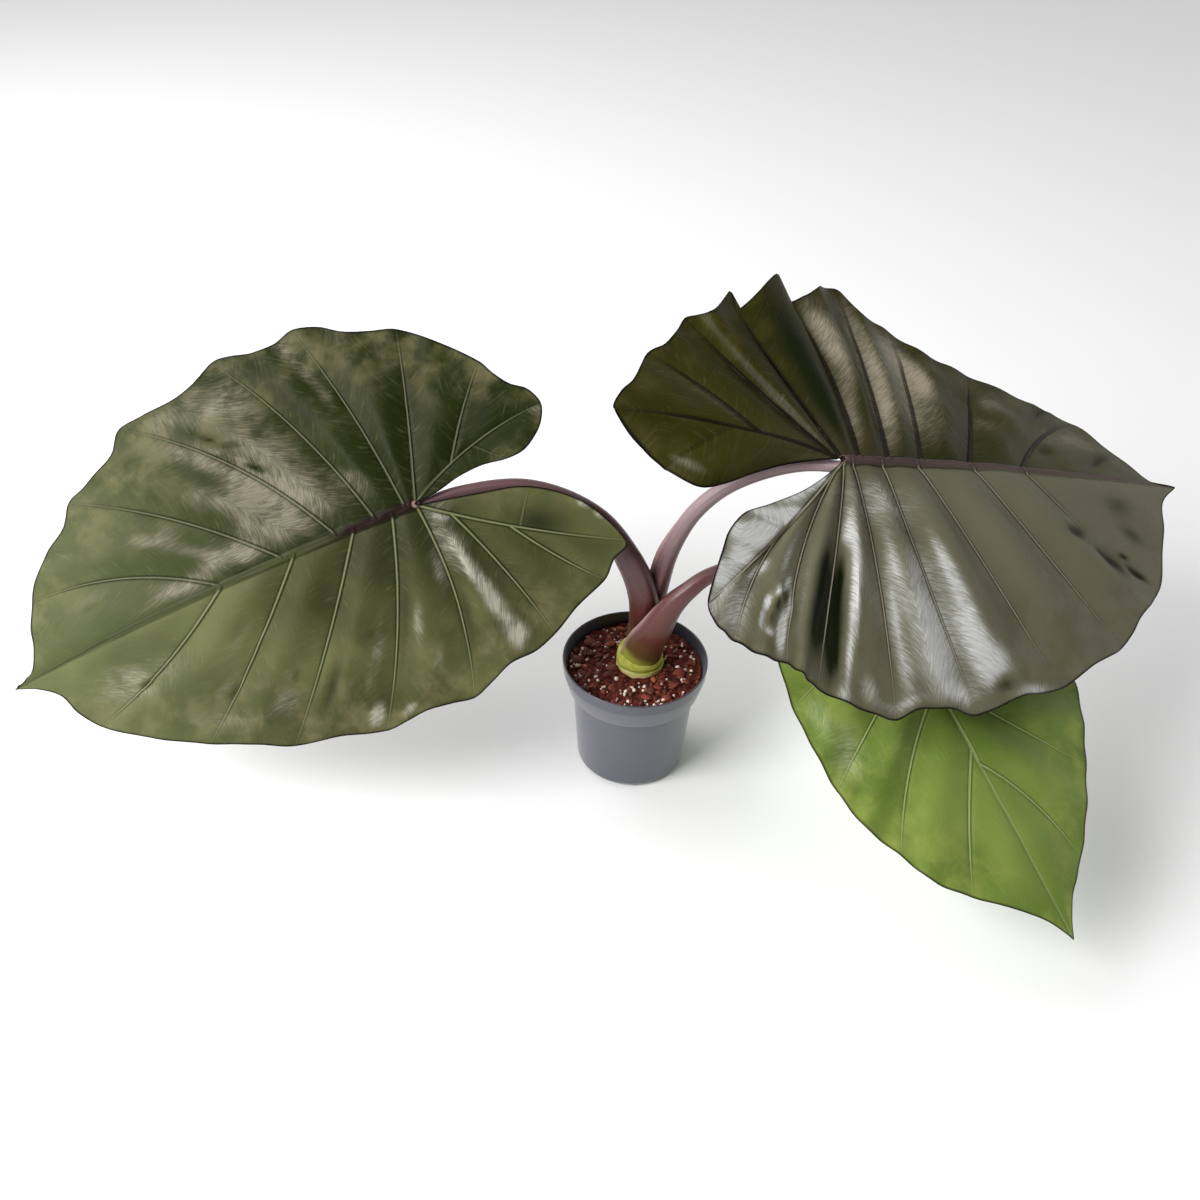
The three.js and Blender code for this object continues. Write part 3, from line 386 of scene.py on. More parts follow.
LOW_LEAF_LEFT = dict(
    side=-1, fold=8, curl=0.05, rib_bend=(-42, -36), rib_tip=(-84, -56),
    veins=(
        vein(129, 221, -55, -3), vein(76, 175, -89, -7), vein(42, 116, -109, -1), vein(8, 48, -108),
        vein(0, -24, -94),
    ),
    outer=(vein(0.35, -66, -76),),
    inner=(vein(0.5, -50, -12),),
    gaps=(
        gap(2, -4, -4, -2), gap(4, 4.9), gap(5, 4.8), gap(5, 2), gap(5, 0), gap(4, 0), gap(3, 2), gap(2, 8),
        gap(2, 1),
    ),
    dents=((851, 758, 11, 17, -0.9), (828, 729, 12, 13, 0.75), (892, 762, 8, 36, 0.6)),
    painted_light=(
        (848, 753, 25, 26, 0.5), (818, 717, 20, 13, 0.5), (899, 740, 5, 35, 0.25), (919, 731, 5, 50, 0.25),
    ),
)
LOW_LEAF = dict(
    joint=(189, -23, 197), tip=(311, -229, 60), turn=5.7, arch=12, rear=0.1, bend=-6, crown_width=1,
    ridge_height=0.7, rib_width=0.9, vein_width=(0.9, 0.35), keel=2.2, ripple=0.35,
    halves=(LOW_LEAF_RIGHT, LOW_LEAF_LEFT),
)

# Stalks: the line of the middle, and half widths and depths along it. A wing is start, end, reach, angle
# and spread of a thin ridge.
LEFT_STALK = dict(
    line=(
        (4, 9, 112.3), (5, 6, 140), (2.5, -1, 175), (-9.5, -2, 208), (-36.5, 6, 243), (-86, 13, 262),
        (-138, 6, 260), (-171, -2, 250.5),
    ),
    half_width=(12.5, 12, 11.8, 10.6, 7.5, 5.6, 4.8, 4.4),
    half_depth=(10.5, 10.5, 10.5, 9.5, 7, 5.4, 4.6, 4.2),
)
RIGHT_STALK = dict(
    line=(
        (11, 14, 112.3), (12.5, 11, 142), (15.5, 6, 178), (22.5, 8, 212), (37.5, 9, 246), (59, 9, 270),
        (86, 6, 287), (113, -4, 301), (138, -13, 306.5),
    ),
    half_width=(8.5, 8.2, 7.6, 7, 6.4, 5.8, 5, 4.6, 4.4),
    half_depth=(8, 8, 7.8, 7.2, 6.4, 5.8, 5.2, 4.6, 4.2),
    wings=((0.08, 0.5, 3.2, 5, 0.13),),
)
LOW_STALK = dict(
    line=(
        (5, 0, 112.3), (8, -5, 129), (14, -11, 147), (24, -13, 171), (36, -12.5, 187), (55, -6, 200),
        (90, 2, 206), (125, -3, 203), (158, -11, 195), (187.5, -20, 191),
    ),
    half_width=(16.5, 15.5, 13.5, 10, 7.6, 6.1, 5.4, 5, 4.6, 4.2),
    half_depth=(14, 12.5, 11, 8.6, 7, 5.8, 5.2, 4.8, 4.4, 4),
    wings=((-0.1, 0.4, 1.6, 8, 0.14),),
)


def smooth_step(low, high, value):
    share = np.clip((value - low) / (high - low), 0, 1)
    return share * share * (3 - 2 * share)


def bell(distance, width):
    return np.exp(-((distance / width) ** 2))


def arc(t, start, middle, end):
    """A curve from start to end that leans toward the middle point."""
    return (1 - t) ** 2 * start + 2 * (1 - t) * t * middle + t * t * end


def uneven(x, y, seed, waves, shortest, longest):
    """The sum of waves in random directions and of random lengths."""
    draw = np.random.default_rng(seed)
    total = np.zeros_like(x)
    for _ in range(waves):
        turn = draw.uniform(0, 2 * np.pi)
        wave = draw.uniform(shortest, longest)
        total += np.sin((x * math.cos(turn) + y * math.sin(turn)) * 2 * np.pi / wave + draw.uniform(0, 6))
    return total


class Plane:
    """A leaf's own plane: x from the stalk joint to the tip, y to one side, z out of the upper face."""

    def __init__(self, leaf):
        self.joint = np.array(leaf["joint"], float)
        along = np.array(leaf["tip"], float) - self.joint
        self.length = np.linalg.norm(along)
        self.along = along / self.length
        level = np.array([0, 0, 1.0]) - self.along[2] * self.along
        level /= np.linalg.norm(level)
        across = np.cross(level, self.along)
        turn = math.radians(leaf["turn"])
        self.side = across * math.cos(turn) + level * math.sin(turn)
        self.up = np.cross(self.along, self.side)

    def place(self, x, y, z):
        return self.joint + np.outer(x, self.along) + np.outer(y, self.side) + np.outer(z, self.up)


class Half:
    """One half of a blade. Whole ray numbers are veins, and a share runs from the rib to the margin."""

    def __init__(self, leaf, half, length):
        self.leaf, self.half, self.length, self.side = leaf, half, length, half["side"]
        self.joint_ray = len(half["veins"])
        self.lobe_ray = self.joint_ray + len(half["outer"]) + 1
        self.last_ray = self.lobe_ray + len(half["inner"]) + 1
        self.root = np.array([0, self.side * CROWN_HALF_WIDTH])
        ends = [vein(length, length, 0), *half["veins"], *half["outer"]]
        ends += [vein(1, *half["rib_tip"]), *half["inner"], vein(0, *self.root)]
        self.midrib_starts = [end["start"] for end in ends[: self.joint_ray + 1]]
        self.rib_starts = [0] + [end["start"] for end in ends[self.joint_ray + 1 :]]
        self.bows, self.lifts = ([end[key] for end in ends] for key in ("bow", "lift"))
        self.swells, self.waves = (
            np.array([entry[key] for entry in half["gaps"]], float) for key in ("swell", "wave")
        )
        at, knots = [], []
        for i, entry in enumerate(half["gaps"]):
            here = ends[i]["end"]
            step = ends[i + 1]["end"] - here
            size = np.hypot(*step) + TINY
            out = np.array([step[1], -step[0]]) * self.side / size + step * entry["lean"] / size
            for j, bulge in enumerate((0, *entry["bulges"])):
                share = j / (len(entry["bulges"]) + 1)
                at.append(i + share)
                knots.append(here + step * share + out * bulge)
        self.at, self.knots = np.array([*at, self.last_ray], float), np.array([*knots, ends[-1]["end"]])
        numbers = np.arange(len(self.at))
        before, after = np.maximum(numbers - 1, 0), np.minimum(numbers + 1, len(at))
        self.slopes = (self.knots[after] - self.knots[before]) / (self.at[after] - self.at[before])[:, None]
        crown = np.linspace(0, length, CROWN_STEPS)
        self.crown_line = np.stack([crown, self.midrib_y(crown)], 1)

    def at_ray(self, ray, values):
        return np.interp(ray, np.arange(self.last_ray + 1), values)

    def midrib_y(self, x):
        share = np.clip(x / self.length, 0, 1)
        return self.leaf["bend"] * 4 * share * (1 - share)

    def margin(self, ray):
        i = np.clip(np.searchsorted(self.at, ray, "right") - 1, 0, len(self.at) - 2)
        span = (self.at[i + 1] - self.at[i])[:, None]
        t = (ray - self.at[i])[:, None] / span
        return (
            (2 * t**3 - 3 * t**2 + 1) * self.knots[i]
            + (t**3 - 2 * t**2 + t) * span * self.slopes[i]
            + (3 * t**2 - 2 * t**3) * self.knots[i + 1]
            + (t**3 - t**2) * span * self.slopes[i + 1]
        )

    def rib_point(self, t):
        bend, tip = np.array(self.half["rib_bend"], float), np.array(self.half["rib_tip"], float)
        return arc(np.asarray(t, float)[:, None], self.root, bend, tip)

    def rib_share(self, ray):
        return np.interp(ray, np.arange(self.joint_ray, self.last_ray + 1), self.rib_starts)

    def start(self, ray):
        x = np.interp(ray, np.arange(self.joint_ray + 1), self.midrib_starts)
        width = CROWN_HALF_WIDTH * np.clip((self.length - x) / CROWN_TAPER, 0, 1)
        crown = np.stack([x, self.midrib_y(x) + self.side * width], 1)
        return np.where((ray > self.joint_ray)[:, None], self.rib_point(self.rib_share(ray)), crown)

    def height(self, x, y):
        leaf, share = self.leaf, x / self.length
        rise = leaf["arch"] * 4 * share * np.where(share > 0, 1 - share, leaf["rear"])
        off = y - self.midrib_y(x)
        slope = math.tan(math.radians(self.half["fold"]))
        drop = slope * (np.hypot(off, FOLD_ROUNDING) - FOLD_ROUNDING)
        return rise - drop - self.half["curl"] * off * off / CURL_WIDTH

    def line(self, ray, v):
        """Leaf-plane x and y of a point, and how far its ray reaches."""
        start, end = self.start(ray), self.margin(ray)
        step = end - start
        reach = np.hypot(step[:, 0], step[:, 1]) + TINY
        bow = 2 * self.at_ray(ray, self.bows) * self.side / reach
        middle = (start + end) / 2 + np.stack([step[:, 1], -step[:, 0]], 1) * bow[:, None]
        return arc(v[:, None], start, middle, end), reach

    def point(self, ray, v):
        """Leaf-plane x, y and z of a point, and how far its ray reaches."""
        ray, v = np.asarray(ray, float), np.asarray(v, float)
        xy, reach = self.line(ray, v)
        here = np.clip(np.floor(ray).astype(int), 0, self.last_ray - 1)
        hump = np.sin(np.pi * (ray - np.floor(ray))) ** 2
        swell = self.swells[here] * np.sin(np.pi * np.minimum(v, 0.92) ** 0.8 * 0.9)
        swell = swell * np.clip(reach / SWELL_REACH, 0, 1)
        lift = self.at_ray(ray, self.lifts)
        z = self.height(xy[:, 0], xy[:, 1]) + hump * (swell + self.waves[here] * v**4) + lift * v * v
        return xy[:, 0], xy[:, 1], z, reach


# Meshes


def new_object(name, data):
    obj = bpy.data.objects.new(name, data)
    bpy.context.scene.collection.objects.link(obj)
    return obj


def mesh_object(name, points, faces, sharp_degrees=None):
    """A smooth-shaded object from points in millimetres."""
    mesh = bpy.data.meshes.new(name)
    mesh.from_pydata((np.asarray(points, float) * MM).tolist(), [], faces)
    mesh.validate()
    mesh.shade_smooth()
    if sharp_degrees is not None:
        mesh.set_sharp_from_angle(angle=math.radians(sharp_degrees))
    return new_object(name, mesh)


def point_colours(mesh, name, values):
    """Stores four numbers for each vertex, which a material reads by name."""
    attribute = mesh.attributes.new(name, "FLOAT_COLOR", "POINT")
    attribute.data.foreach_set("color", np.asarray(values, np.float32).ravel())


def point_shades(mesh, values):
    """Stores one number for each vertex."""
    point_colours(mesh, "marks", np.stack([values] * 4, 1))


def loop_vertices(mesh):
    found = np.zeros(len(mesh.loops), np.int32)
    mesh.loops.foreach_get("vertex_index", found)
    return found


def uv_layer(mesh, name, values):
    layer = mesh.uv_layers.new(name=name)
    layer.data.foreach_set("uv", np.asarray(values, np.float32).ravel())


def circle(angles, radius, z, centre=(0, 0)):
    """Points on a level circle."""
    x, y = centre[0] + radius * np.cos(angles), centre[1] + radius * np.sin(angles)
    return np.stack([x, y, np.full(len(angles), z)], 1)


# Blades


def nearest_on(line, points):
    """Distance of each point to a line of points, how far along the line that is, and its length."""
    start, step = line[:-1], np.diff(line, axis=0)
    length = np.hypot(step[:, 0], step[:, 1]) + TINY
    before = np.concatenate([[0], np.cumsum(length)[:-1]])
    off = points[:, None, :] - start[None]
    share = np.clip((off * step[None]).sum(2) / length**2, 0, 1)
    apart = off - share[..., None] * step[None]
    distance = np.hypot(apart[..., 0], apart[..., 1])
    best = distance.argmin(1)
    rows = np.arange(len(points))
    return distance[rows, best], before[best] + share[rows, best] * length[best], length.sum()


def clustered(first, last):
    """Ray numbers from one vein to another, crowded beside each vein."""
    offsets = np.array(VEIN_OFFSETS)
    widest = VEIN_OFFSETS[-1]
    rays = []
    for number in range(first, last + 1):
        count = TIP_FILL_STEPS if number == 0 else FILL_STEPS
        rays += [number - offsets, number + offsets]
        rays.append(number + widest + (1 - 2 * widest) * np.arange(1, count) / count)
    rays = np.concatenate(rays)
    return np.unique(np.round(rays[(rays >= first) & (rays <= last)], 6))


def half_grid(surface):
    """Columns of one half: from the tip round to the lobe, and back along the rib to the joint."""
    joint, lobe, last = surface.joint_ray, surface.lobe_ray, surface.last_ray
    rib_starts = surface.rib_starts
    outer, inner = clustered(0, lobe), clustered(lobe, last)
    inner_shares = surface.rib_share(inner)
    extra = np.interp(inner_shares, rib_starts[: lobe - joint + 1], np.arange(joint, lobe + 1))
    outer = np.unique(np.round(np.concatenate([outer, extra]), 4))
    shares = surface.rib_share(outer[outer >= joint])
    inner = np.interp(-shares[::-1], [-s for s in rib_starts[lobe - joint :]], np.arange(lobe, last + 1))
    return outer, inner


class Columns:
    """Numbers the points of a half, column by column, and keeps each point's ray and share."""

    def __init__(self, outer, inner, first):
        rows = np.array(ROW_SHARES)
        self.rays, self.shares, self.next = [], [], first
        self.outer = np.zeros((len(outer), len(rows)), int)
        self.inner = np.zeros((len(inner), len(rows)), int)
        for i in range(1, len(outer)):
            self.outer[i] = self.column(outer[i], rows if i < len(outer) - 1 else rows[-1:])
        for i in range(len(inner)):
            self.inner[i] = self.outer[len(outer) - 1 - i, 0]
            if 0 < i < len(inner) - 1:
                self.inner[i, 1:] = self.column(inner[i], rows[1:])

    def column(self, ray, shares):
        self.rays += [ray] * len(shares)
        self.shares += shares.tolist()
        self.next += len(shares)
        return np.arange(self.next - len(shares), self.next)


def seen_at(points):
    """Where points in millimetres are seen in the photograph, in its pixels."""
    away = points * MM - CAMERA_PLACE
    ahead = np.array([0, math.cos(CAMERA_PITCH), -math.sin(CAMERA_PITCH)])
    level = np.array([1.0, 0, 0])
    upright = np.cross(level, ahead)
    right = math.cos(CAMERA_ROLL) * level + math.sin(CAMERA_ROLL) * upright
    up = math.cos(CAMERA_ROLL) * upright - math.sin(CAMERA_ROLL) * level
    scale = FOCAL_PIXELS / (away @ ahead)
    return PHOTO_SIZE / 2 + np.stack([away @ right * scale, -(away @ up) * scale], 1)


def placed(marks, plane, surface):
    """Marks seen in the photograph, turned into ray, share, half widths in both, and amount."""
    rays = np.linspace(0.01, surface.last_ray - 0.01, SEARCH_RAYS * surface.last_ray)
    shares = np.linspace(0.01, 1, SEARCH_SHARES)
    ray, share = (grid.ravel() for grid in np.meshgrid(rays, shares, indexing="ij"))

    def seen(ray, share):
        return seen_at(plane.place(*surface.point(ray, share)[:3]))

    whole = seen(ray, share)
    found = []
    for x, y, across, along, amount in marks:
        best = np.hypot(whole[:, 0] - x, whole[:, 1] - y).argmin()
        r, v = ray[best], share[best]
        ends = min(v + SEARCH_STEP, 1), max(v - SEARCH_STEP, 0)
        near = seen([r + SEARCH_STEP, r - SEARCH_STEP, r, r], [v, v, *ends])
        turn, reach = near[0] - near[1], near[2] - near[3]
        length = np.hypot(*reach)
        wide = across * 2 * SEARCH_STEP * length / abs(turn[0] * reach[1] - turn[1] * reach[0])
        found.append((r, v, wide, along * (ends[0] - ends[1]) / length, amount))
    return found


def spots(listed, ray, share):
    """Soft spots on a half, added up."""
    total = np.zeros(len(ray))
    for spot_ray, spot_share, wide, deep, amount in listed:
        total += amount * bell(ray - spot_ray, wide) * bell(share - spot_share, deep)
    return total


def ridge(distance, width, strength):
    """Vein, the painted shade line beside it and bright crease, at a distance from a vein's middle."""
    raised = smooth_step(width + VEIN_EDGE[0], width - VEIN_EDGE[1], distance)
    painted_shade_line = bell(distance - width - VEIN_PAINTED_SHADE[0], VEIN_PAINTED_SHADE[1])
    return np.stack([raised, painted_shade_line, bell(distance, CREASE_WIDTH)]) * strength


def faded(share):
    """Strength of a vein, which fades toward its end."""
    return 1 - VEIN_FADE * smooth_step(0.6, 1, share)


def veins_near(surface, ray, xy):
    """Each vein's distance and the way along it, and the ridges, groove and ridge below at each point."""
    leaf, half, lobe, last = surface.leaf, surface.half, surface.lobe_ray, surface.last_ray
    off = np.full((last + 1, len(ray)), FAR_FROM_VEINS)
    along = np.zeros((last + 1, len(ray)))
    ridges = np.zeros((3, len(ray)))
    groove = np.zeros(len(ray))
    rib_line = surface.rib_point(np.linspace(0, 1, RIB_STEPS))
    for number in range(last + 1):
        near = np.abs(ray - number) <= 1.001
        if number == 0:
            line = surface.crown_line
        elif number in (lobe, last):
            line = rib_line
        else:
            line = surface.line(np.full(VEIN_STEPS, float(number)), np.linspace(0, 1, VEIN_STEPS))[0]
        distance, way, whole = nearest_on(line, xy[near])
        off[number, near], along[number, near] = distance, way
        if number in (0, last):
            continue
        share = way / whole
        widths = (leaf["rib_width"], 0.5) if number == lobe else half.get("vein_width", leaf["vein_width"])
        width = widths[0] + (widths[1] - widths[0]) * share
        strength = faded(share) * (INNER_VEIN_SHARE if number > lobe else 1)
        if number == 1:
            strength = strength * (1 - half.get("faint", 0) * smooth_step(0.2, 0.5, share))
        ridges[:, near] = np.maximum(ridges[:, near], ridge(distance, width, strength))
        groove[near] = np.maximum(groove[near], bell(distance, 2 * width + GROOVE_SPREAD) * strength)
    distance, way, whole = nearest_on(rib_line, xy)
    width = leaf["rib_width"] * (1 - 0.6 * way / whole)
    below = ridges[0] * (1 - bell(distance, RIB_CLEARANCE))
    ridges = np.maximum(ridges, ridge(distance, width, (ray > surface.joint_ray - 1) * faded(way / whole)))
    return off, along, ridges, groove, below


def half_points(surface, number, plane, seed, ray, v):
    """Place, marks, zones and shines of the points of a half, and each vein's distance and way along."""
    leaf, half = surface.leaf, surface.half
    x, y, z, reach = surface.point(ray, v)
    xy = np.stack([x, y], 1)
    off, along, (raised, painted_shade_line, crease), groove, below = veins_near(surface, ray, xy)

    crown_off = nearest_on(surface.crown_line, xy)[0]
    share = np.clip(x / surface.length, 0, 1)
    crown_width = leaf["crown_width"] * (1 - share) ** 0.8 + CROWN_TIP_WIDTH
    crown_start = smooth_step(CROWN_START, 0, x)
    midrib = smooth_step(crown_width + CROWN_EDGE[0], crown_width - CROWN_EDGE[1], crown_off) * crown_start
    tube = np.sqrt(np.clip(1 - (crown_off / (crown_width + CROWN_ROUNDING)) ** 2, 0, 1)) * crown_start
    # Painted shade lines beside the midrib's crown join those beside the veins.
    beside = bell(crown_off - crown_width - CROWN_PAINTED_SHADE[0], CROWN_PAINTED_SHADE[1])
    beside = beside * crown_start * (1 - share)
    painted_shade_line = np.maximum(painted_shade_line, beside)
    margin_off = (1 - v) * reach

    z = z + VEIN_HEIGHT * raised - GROOVE_DEPTH * groove * (1 - 0.5 * raised)
    z = z + leaf["ridge_height"] * tube * (1 - 0.8 * share)
    z = z - CROWN_GROOVE_DEPTH * bell(crown_off, 2.4 * crown_width)
    flat = (1 - bell(margin_off, CALM_MARGIN) * 0.7) * np.clip(reach / RIPPLE_REACH, 0, 1)
    ripple = uneven(x, y, seed, *RIPPLE) / 4
    z = z + leaf["ripple"] * ripple * flat * (1 - np.maximum(groove, midrib))
    z = z + DENT_DEPTH * spots(placed(half["dents"], plane, surface), ray, v)
    frill = np.sin(2 * np.pi * (ray * FRILL_WAVES + 0.2 * seed))
    z = z + FRILL_HEIGHT * v**7 * frill * np.clip(reach / FRILL_REACH, 0, 1)

    # Painted light: a painted highlight and sheen where the amount is above nothing, a painted shade below
    # it.
    painted_light_amount = spots(placed(half["painted_light"], plane, surface), ray, v)
    zeros = np.zeros(len(ray))
    return {
        "place": np.stack([x, y, z], 1),
        "marks": np.stack([raised, painted_shade_line, midrib, smooth_step(*EDGE_BAND, margin_off)], 1),
        "zones": np.stack([bell(np.hypot(x, y), JOINT_ZONE), zeros + number, v, zeros], 1),
        # Shines holds the painted highlight, the painted shade, the veins' bright crease and the rib's ridge
        # below.
        "shines": np.stack([np.clip(painted_light_amount, 0, 1), np.clip(-painted_light_amount, 0, 1), crease, below], 1),
        "off": off,
        "along": along,
    }


def grid_faces(ids, rays, upward):
    """Faces of a grid, without corners that fall together, each with the vein that it is nearest to."""
    faces = []
    veins = np.round((rays[:-1] + rays[1:]) / 2).astype(int)
    for i, j in np.ndindex(len(ids) - 1, ids.shape[1] - 1):
        ring = [ids[i, j], ids[i, j + 1], ids[i + 1, j + 1], ids[i + 1, j]]
        kept = [p for n, p in enumerate(ring) if p != ring[n - 1]]
        if len(set(kept)) > 2:
            faces.append((kept if upward else kept[::-1], veins[i]))
    return faces


def crown_faces(first, second):
    """A narrow strip between the halves, on the crown of the midrib. An edge is point numbers and x."""
    faces = []
    i = j = 0
    while i < len(first) - 1 or j < len(second) - 1:
        ring = [second[j][0], first[i][0]]
        if j == len(second) - 1 or (i < len(first) - 1 and first[i + 1][1] > second[j + 1][1]):
            i += 1
            ring.append(first[i][0])
        else:
            j += 1
            ring.append(second[j][0])
        if len(set(ring)) == 3:
            faces.append(ring)
    return faces


def corner_normals(points, faces):
    triangles = np.array([[ring[0], ring[n], ring[n + 1]] for ring in faces for n in range(1, len(ring) - 1)])
    a, b, c = (points[triangles[:, n]] for n in range(3))
    normals = np.zeros_like(points)
    for n in range(3):
        np.add.at(normals, triangles[:, n], np.cross(b - a, c - a))
    return normals / (np.linalg.norm(normals, axis=1, keepdims=True) + 1e-12)


def open_edges(faces):
    found = {}
    for ring in faces:
        for n, start in enumerate(ring):
            end = ring[(n + 1) % len(ring)]
            if (end, start) in found:
                del found[(end, start)]
            else:
                found[(start, end)] = True
    return found


def leaf_maps(mesh, x, y, halves, starts, face_tags):
    """Two maps: the leaf's own plane in decimetres, and barbs that fan out from each vein in centimetres."""
    own = loop_vertices(mesh) % len(x)
    uv_layer(mesh, "leaf", np.stack([x[own], y[own]], 1) / 100)
    tags = np.repeat(face_tags, [face.loop_total for face in mesh.polygons], axis=0)
    off, along = np.zeros(len(own)), np.zeros(len(own))
    for number, points in enumerate(halves):
        inside = (tags[:, 0] == number) & (own >= starts[number]) & (own < starts[number + 1])
        places = tags[inside, 1], own[inside] - starts[number]
        off[inside], along[inside] = points["off"][places], points["along"][places]
    off = np.minimum(off, BARB_REACH)
    uv_layer(mesh, "barbs", np.stack([along - BARB_LEAN * off - BARB_CURVE * off**2, off], 1) / 10)


def blade(name, leaf, seed):
    """A blade: both halves' grids, a lower face under them, and walls along the open edges."""
    plane = Plane(leaf)
    # The tip is the first point, and both halves share it.
    tip = {
        "place": [[plane.length, 0, 0]], "marks": [[0, 0, 0, 1]], "zones": [[0, 0.5, 0, 0]],
        "shines": [[0, 0, 0, 0]],
    }
    halves, faces, tags, edges = [], [], [], []
    starts = [1]
    for number, half in enumerate(leaf["halves"]):
        surface = Half(leaf, half, plane.length)
        rays = half_grid(surface)
        columns = Columns(*rays, starts[-1])
        points = half_points(surface, number, plane, seed, np.array(columns.rays), np.array(columns.shares))
        halves.append(points)
        starts.append(columns.next)
        for ids, own_rays in zip((columns.outer, columns.inner), rays):
            for ring, nearest in grid_faces(ids, own_rays, surface.side > 0):
                faces.append(ring)
                tags.append((number, nearest))
        outer = rays[0][: int(np.argmin(np.abs(rays[0] - surface.joint_ray))) + 1]
        edges.append(list(zip(columns.outer[:, 0], surface.start(outer)[:, 0])))
    strip = crown_faces(*edges)
    faces += strip
    tags += [(0, 0)] * len(strip)

    place, marks, zones, shines = (
        np.concatenate([tip[key]] + [points[key] for points in halves]) for key in tip
    )
    x, y, z = place.T
    upper = plane.place(x, y, z)
    normals = corner_normals(upper, faces)
    keel = leaf["keel"] * marks[:, 2] * (1 - np.clip(x / plane.length, 0, 1))
    lower = upper - normals * (BLADE_THICKNESS + shines[:, 3] + keel)[:, None]
    total = len(upper)
    under = [[p + total for p in ring[::-1]] for ring in faces]
    walls = [[start, start + total, end + total, end] for start, end in open_edges(faces)]
    obj = mesh_object(name, np.concatenate([upper, lower]), faces + under + walls, SHARP_ANGLE)
    mesh = obj.data
    below = zones.copy()
    below[:, 3] = np.clip((normals @ plane.up - 0.1) / 0.3, 0, 1)
    point_colours(mesh, "marks", np.concatenate([marks, marks]))
    point_colours(mesh, "zones", np.concatenate([zones, below]))
    point_colours(mesh, "shines", np.concatenate([shines, 0 * shines]))

    tags = np.array(tags)
    leaf_maps(mesh, x, y, halves, starts, np.concatenate([tags, tags, np.zeros((len(walls), 2), int)]))
    return obj


# Stalks


def smooth_line(points, shares):
    """A smooth line through the points, at shares of the way by point number."""
    points = np.array(points, float)
    points = np.vstack([2 * points[0] - points[1], points, 2 * points[-1] - points[-2]])
    place = np.clip(shares, 0, 1) * (len(points) - 3)
    i = np.minimum(place.astype(int), len(points) - 4)
    t = (place - i)[:, None]
    a, b, c, d = (points[i + n] for n in range(4))
    before, middle, after = (np.linalg.norm(step, axis=1)[:, None] ** 0.5 for step in (b - a, c - b, d - c))
    first = ((b - a) / before - (c - a) / (before + middle) + (c - b) / middle) * middle
    last = ((c - b) / middle - (d - b) / (middle + after) + (d - c) / after) * middle
    return (
        b + first * t + (-3 * b + 3 * c - 2 * first - last) * t**2 + (2 * b - 2 * c + first + last) * t**3
    )


def stalk(name, spec):
    shares = np.linspace(0, 1, STALK_STEPS + 1)
    middle = smooth_line(spec["line"], shares)
    along = np.gradient(middle, axis=0)
    along[0] = (0, 0, 1)
    along /= np.linalg.norm(along, axis=1, keepdims=True)
    across = np.cross((0, -1, 0), along)
    across /= np.linalg.norm(across, axis=1, keepdims=True)
    depth = np.cross(along, across)
    numbers = np.linspace(0, 1, len(spec["half_width"]))
    half_width, half_depth = (np.interp(shares, numbers, spec[key]) for key in ("half_width", "half_depth"))
    angles = np.linspace(0, 2 * np.pi, STALK_SIDES, endpoint=False)
    angles = angles - SIDE_CROWDING * np.sin(angles)
    points, marks = [], []
    for i, share in enumerate(shares):
        wing = np.zeros(STALK_SIDES)
        for start, end, reach, angle, wide in spec.get("wings", ()):
            rise = smooth_step(start, start + WING_RISE * (end - start), share)
            fall = 1 - smooth_step(end - WING_FALL * (end - start), end, share)
            turn = np.abs((angles - math.radians(angle) + np.pi) % (2 * np.pi) - np.pi)
            wing = np.maximum(wing, reach * rise * fall * bell(turn, wide))
        flute = 1 + FLUTE_SHARE * np.sin(FLUTE_COUNT * angles) * smooth_step(0.05, 0.3, share)
        aside = np.outer((half_width[i] * flute + wing) * np.cos(angles), across[i])
        forward = np.outer((half_depth[i] * flute + wing) * np.sin(angles), depth[i])
        points.append(middle[i] + aside + forward)
        marks.append(np.clip(wing / PALE_WING, 0, 1))
    faces = []
    for a in range(0, STALK_STEPS * STALK_SIDES, STALK_SIDES):
        b = a + STALK_SIDES
        for k in range(STALK_SIDES):
            n = (k + 1) % STALK_SIDES
            faces.append([a + k, a + n, b + n, b + k])
    faces.append(list(range(STALK_SIDES))[::-1])
    faces.append([STALK_STEPS * STALK_SIDES + k for k in range(STALK_SIDES)])
    obj = mesh_object(name, np.concatenate(points), faces, ROUND_ANGLE)
    point_shades(obj.data, np.concatenate(marks))
    own = loop_vertices(obj.data)
    travelled = np.concatenate([[0], np.cumsum(np.linalg.norm(np.diff(middle, axis=0), axis=1))])
    turn = angles[own % STALK_SIDES]
    uv_layer(obj.data, "length", np.stack([np.sin(turn / 2) * 0.5, travelled[own // STALK_SIDES] / 100], 1))
    return obj


# Turned pieces


def turned(name, profile, segments, sharp_degrees, place=(0, 0), waver=None):
    """A closed body turned about an upright axis, from radius and height pairs that start and end on it."""
    angles = np.linspace(0, 2 * np.pi, segments, endpoint=False)
    rings = profile[1:-1]
    points = [[(*place, profile[0][1])]]
    for radius, height in rings:
        points.append(circle(angles, radius + (waver(height, angles) if waver else 0), height, place))
    points.append([(*place, profile[-1][1])])
    last = 1 + len(rings) * segments
    faces = []
    for k in range(segments):
        n = (k + 1) % segments
        faces.append([0, 1 + n, 1 + k])
        for a in range(1, last - segments, segments):
            faces.append([a + k, a + n, a + segments + n, a + segments + k])
        faces.append([last - segments + k, last - segments + n, last])
    return mesh_object(name, np.concatenate(points), faces, sharp_degrees)


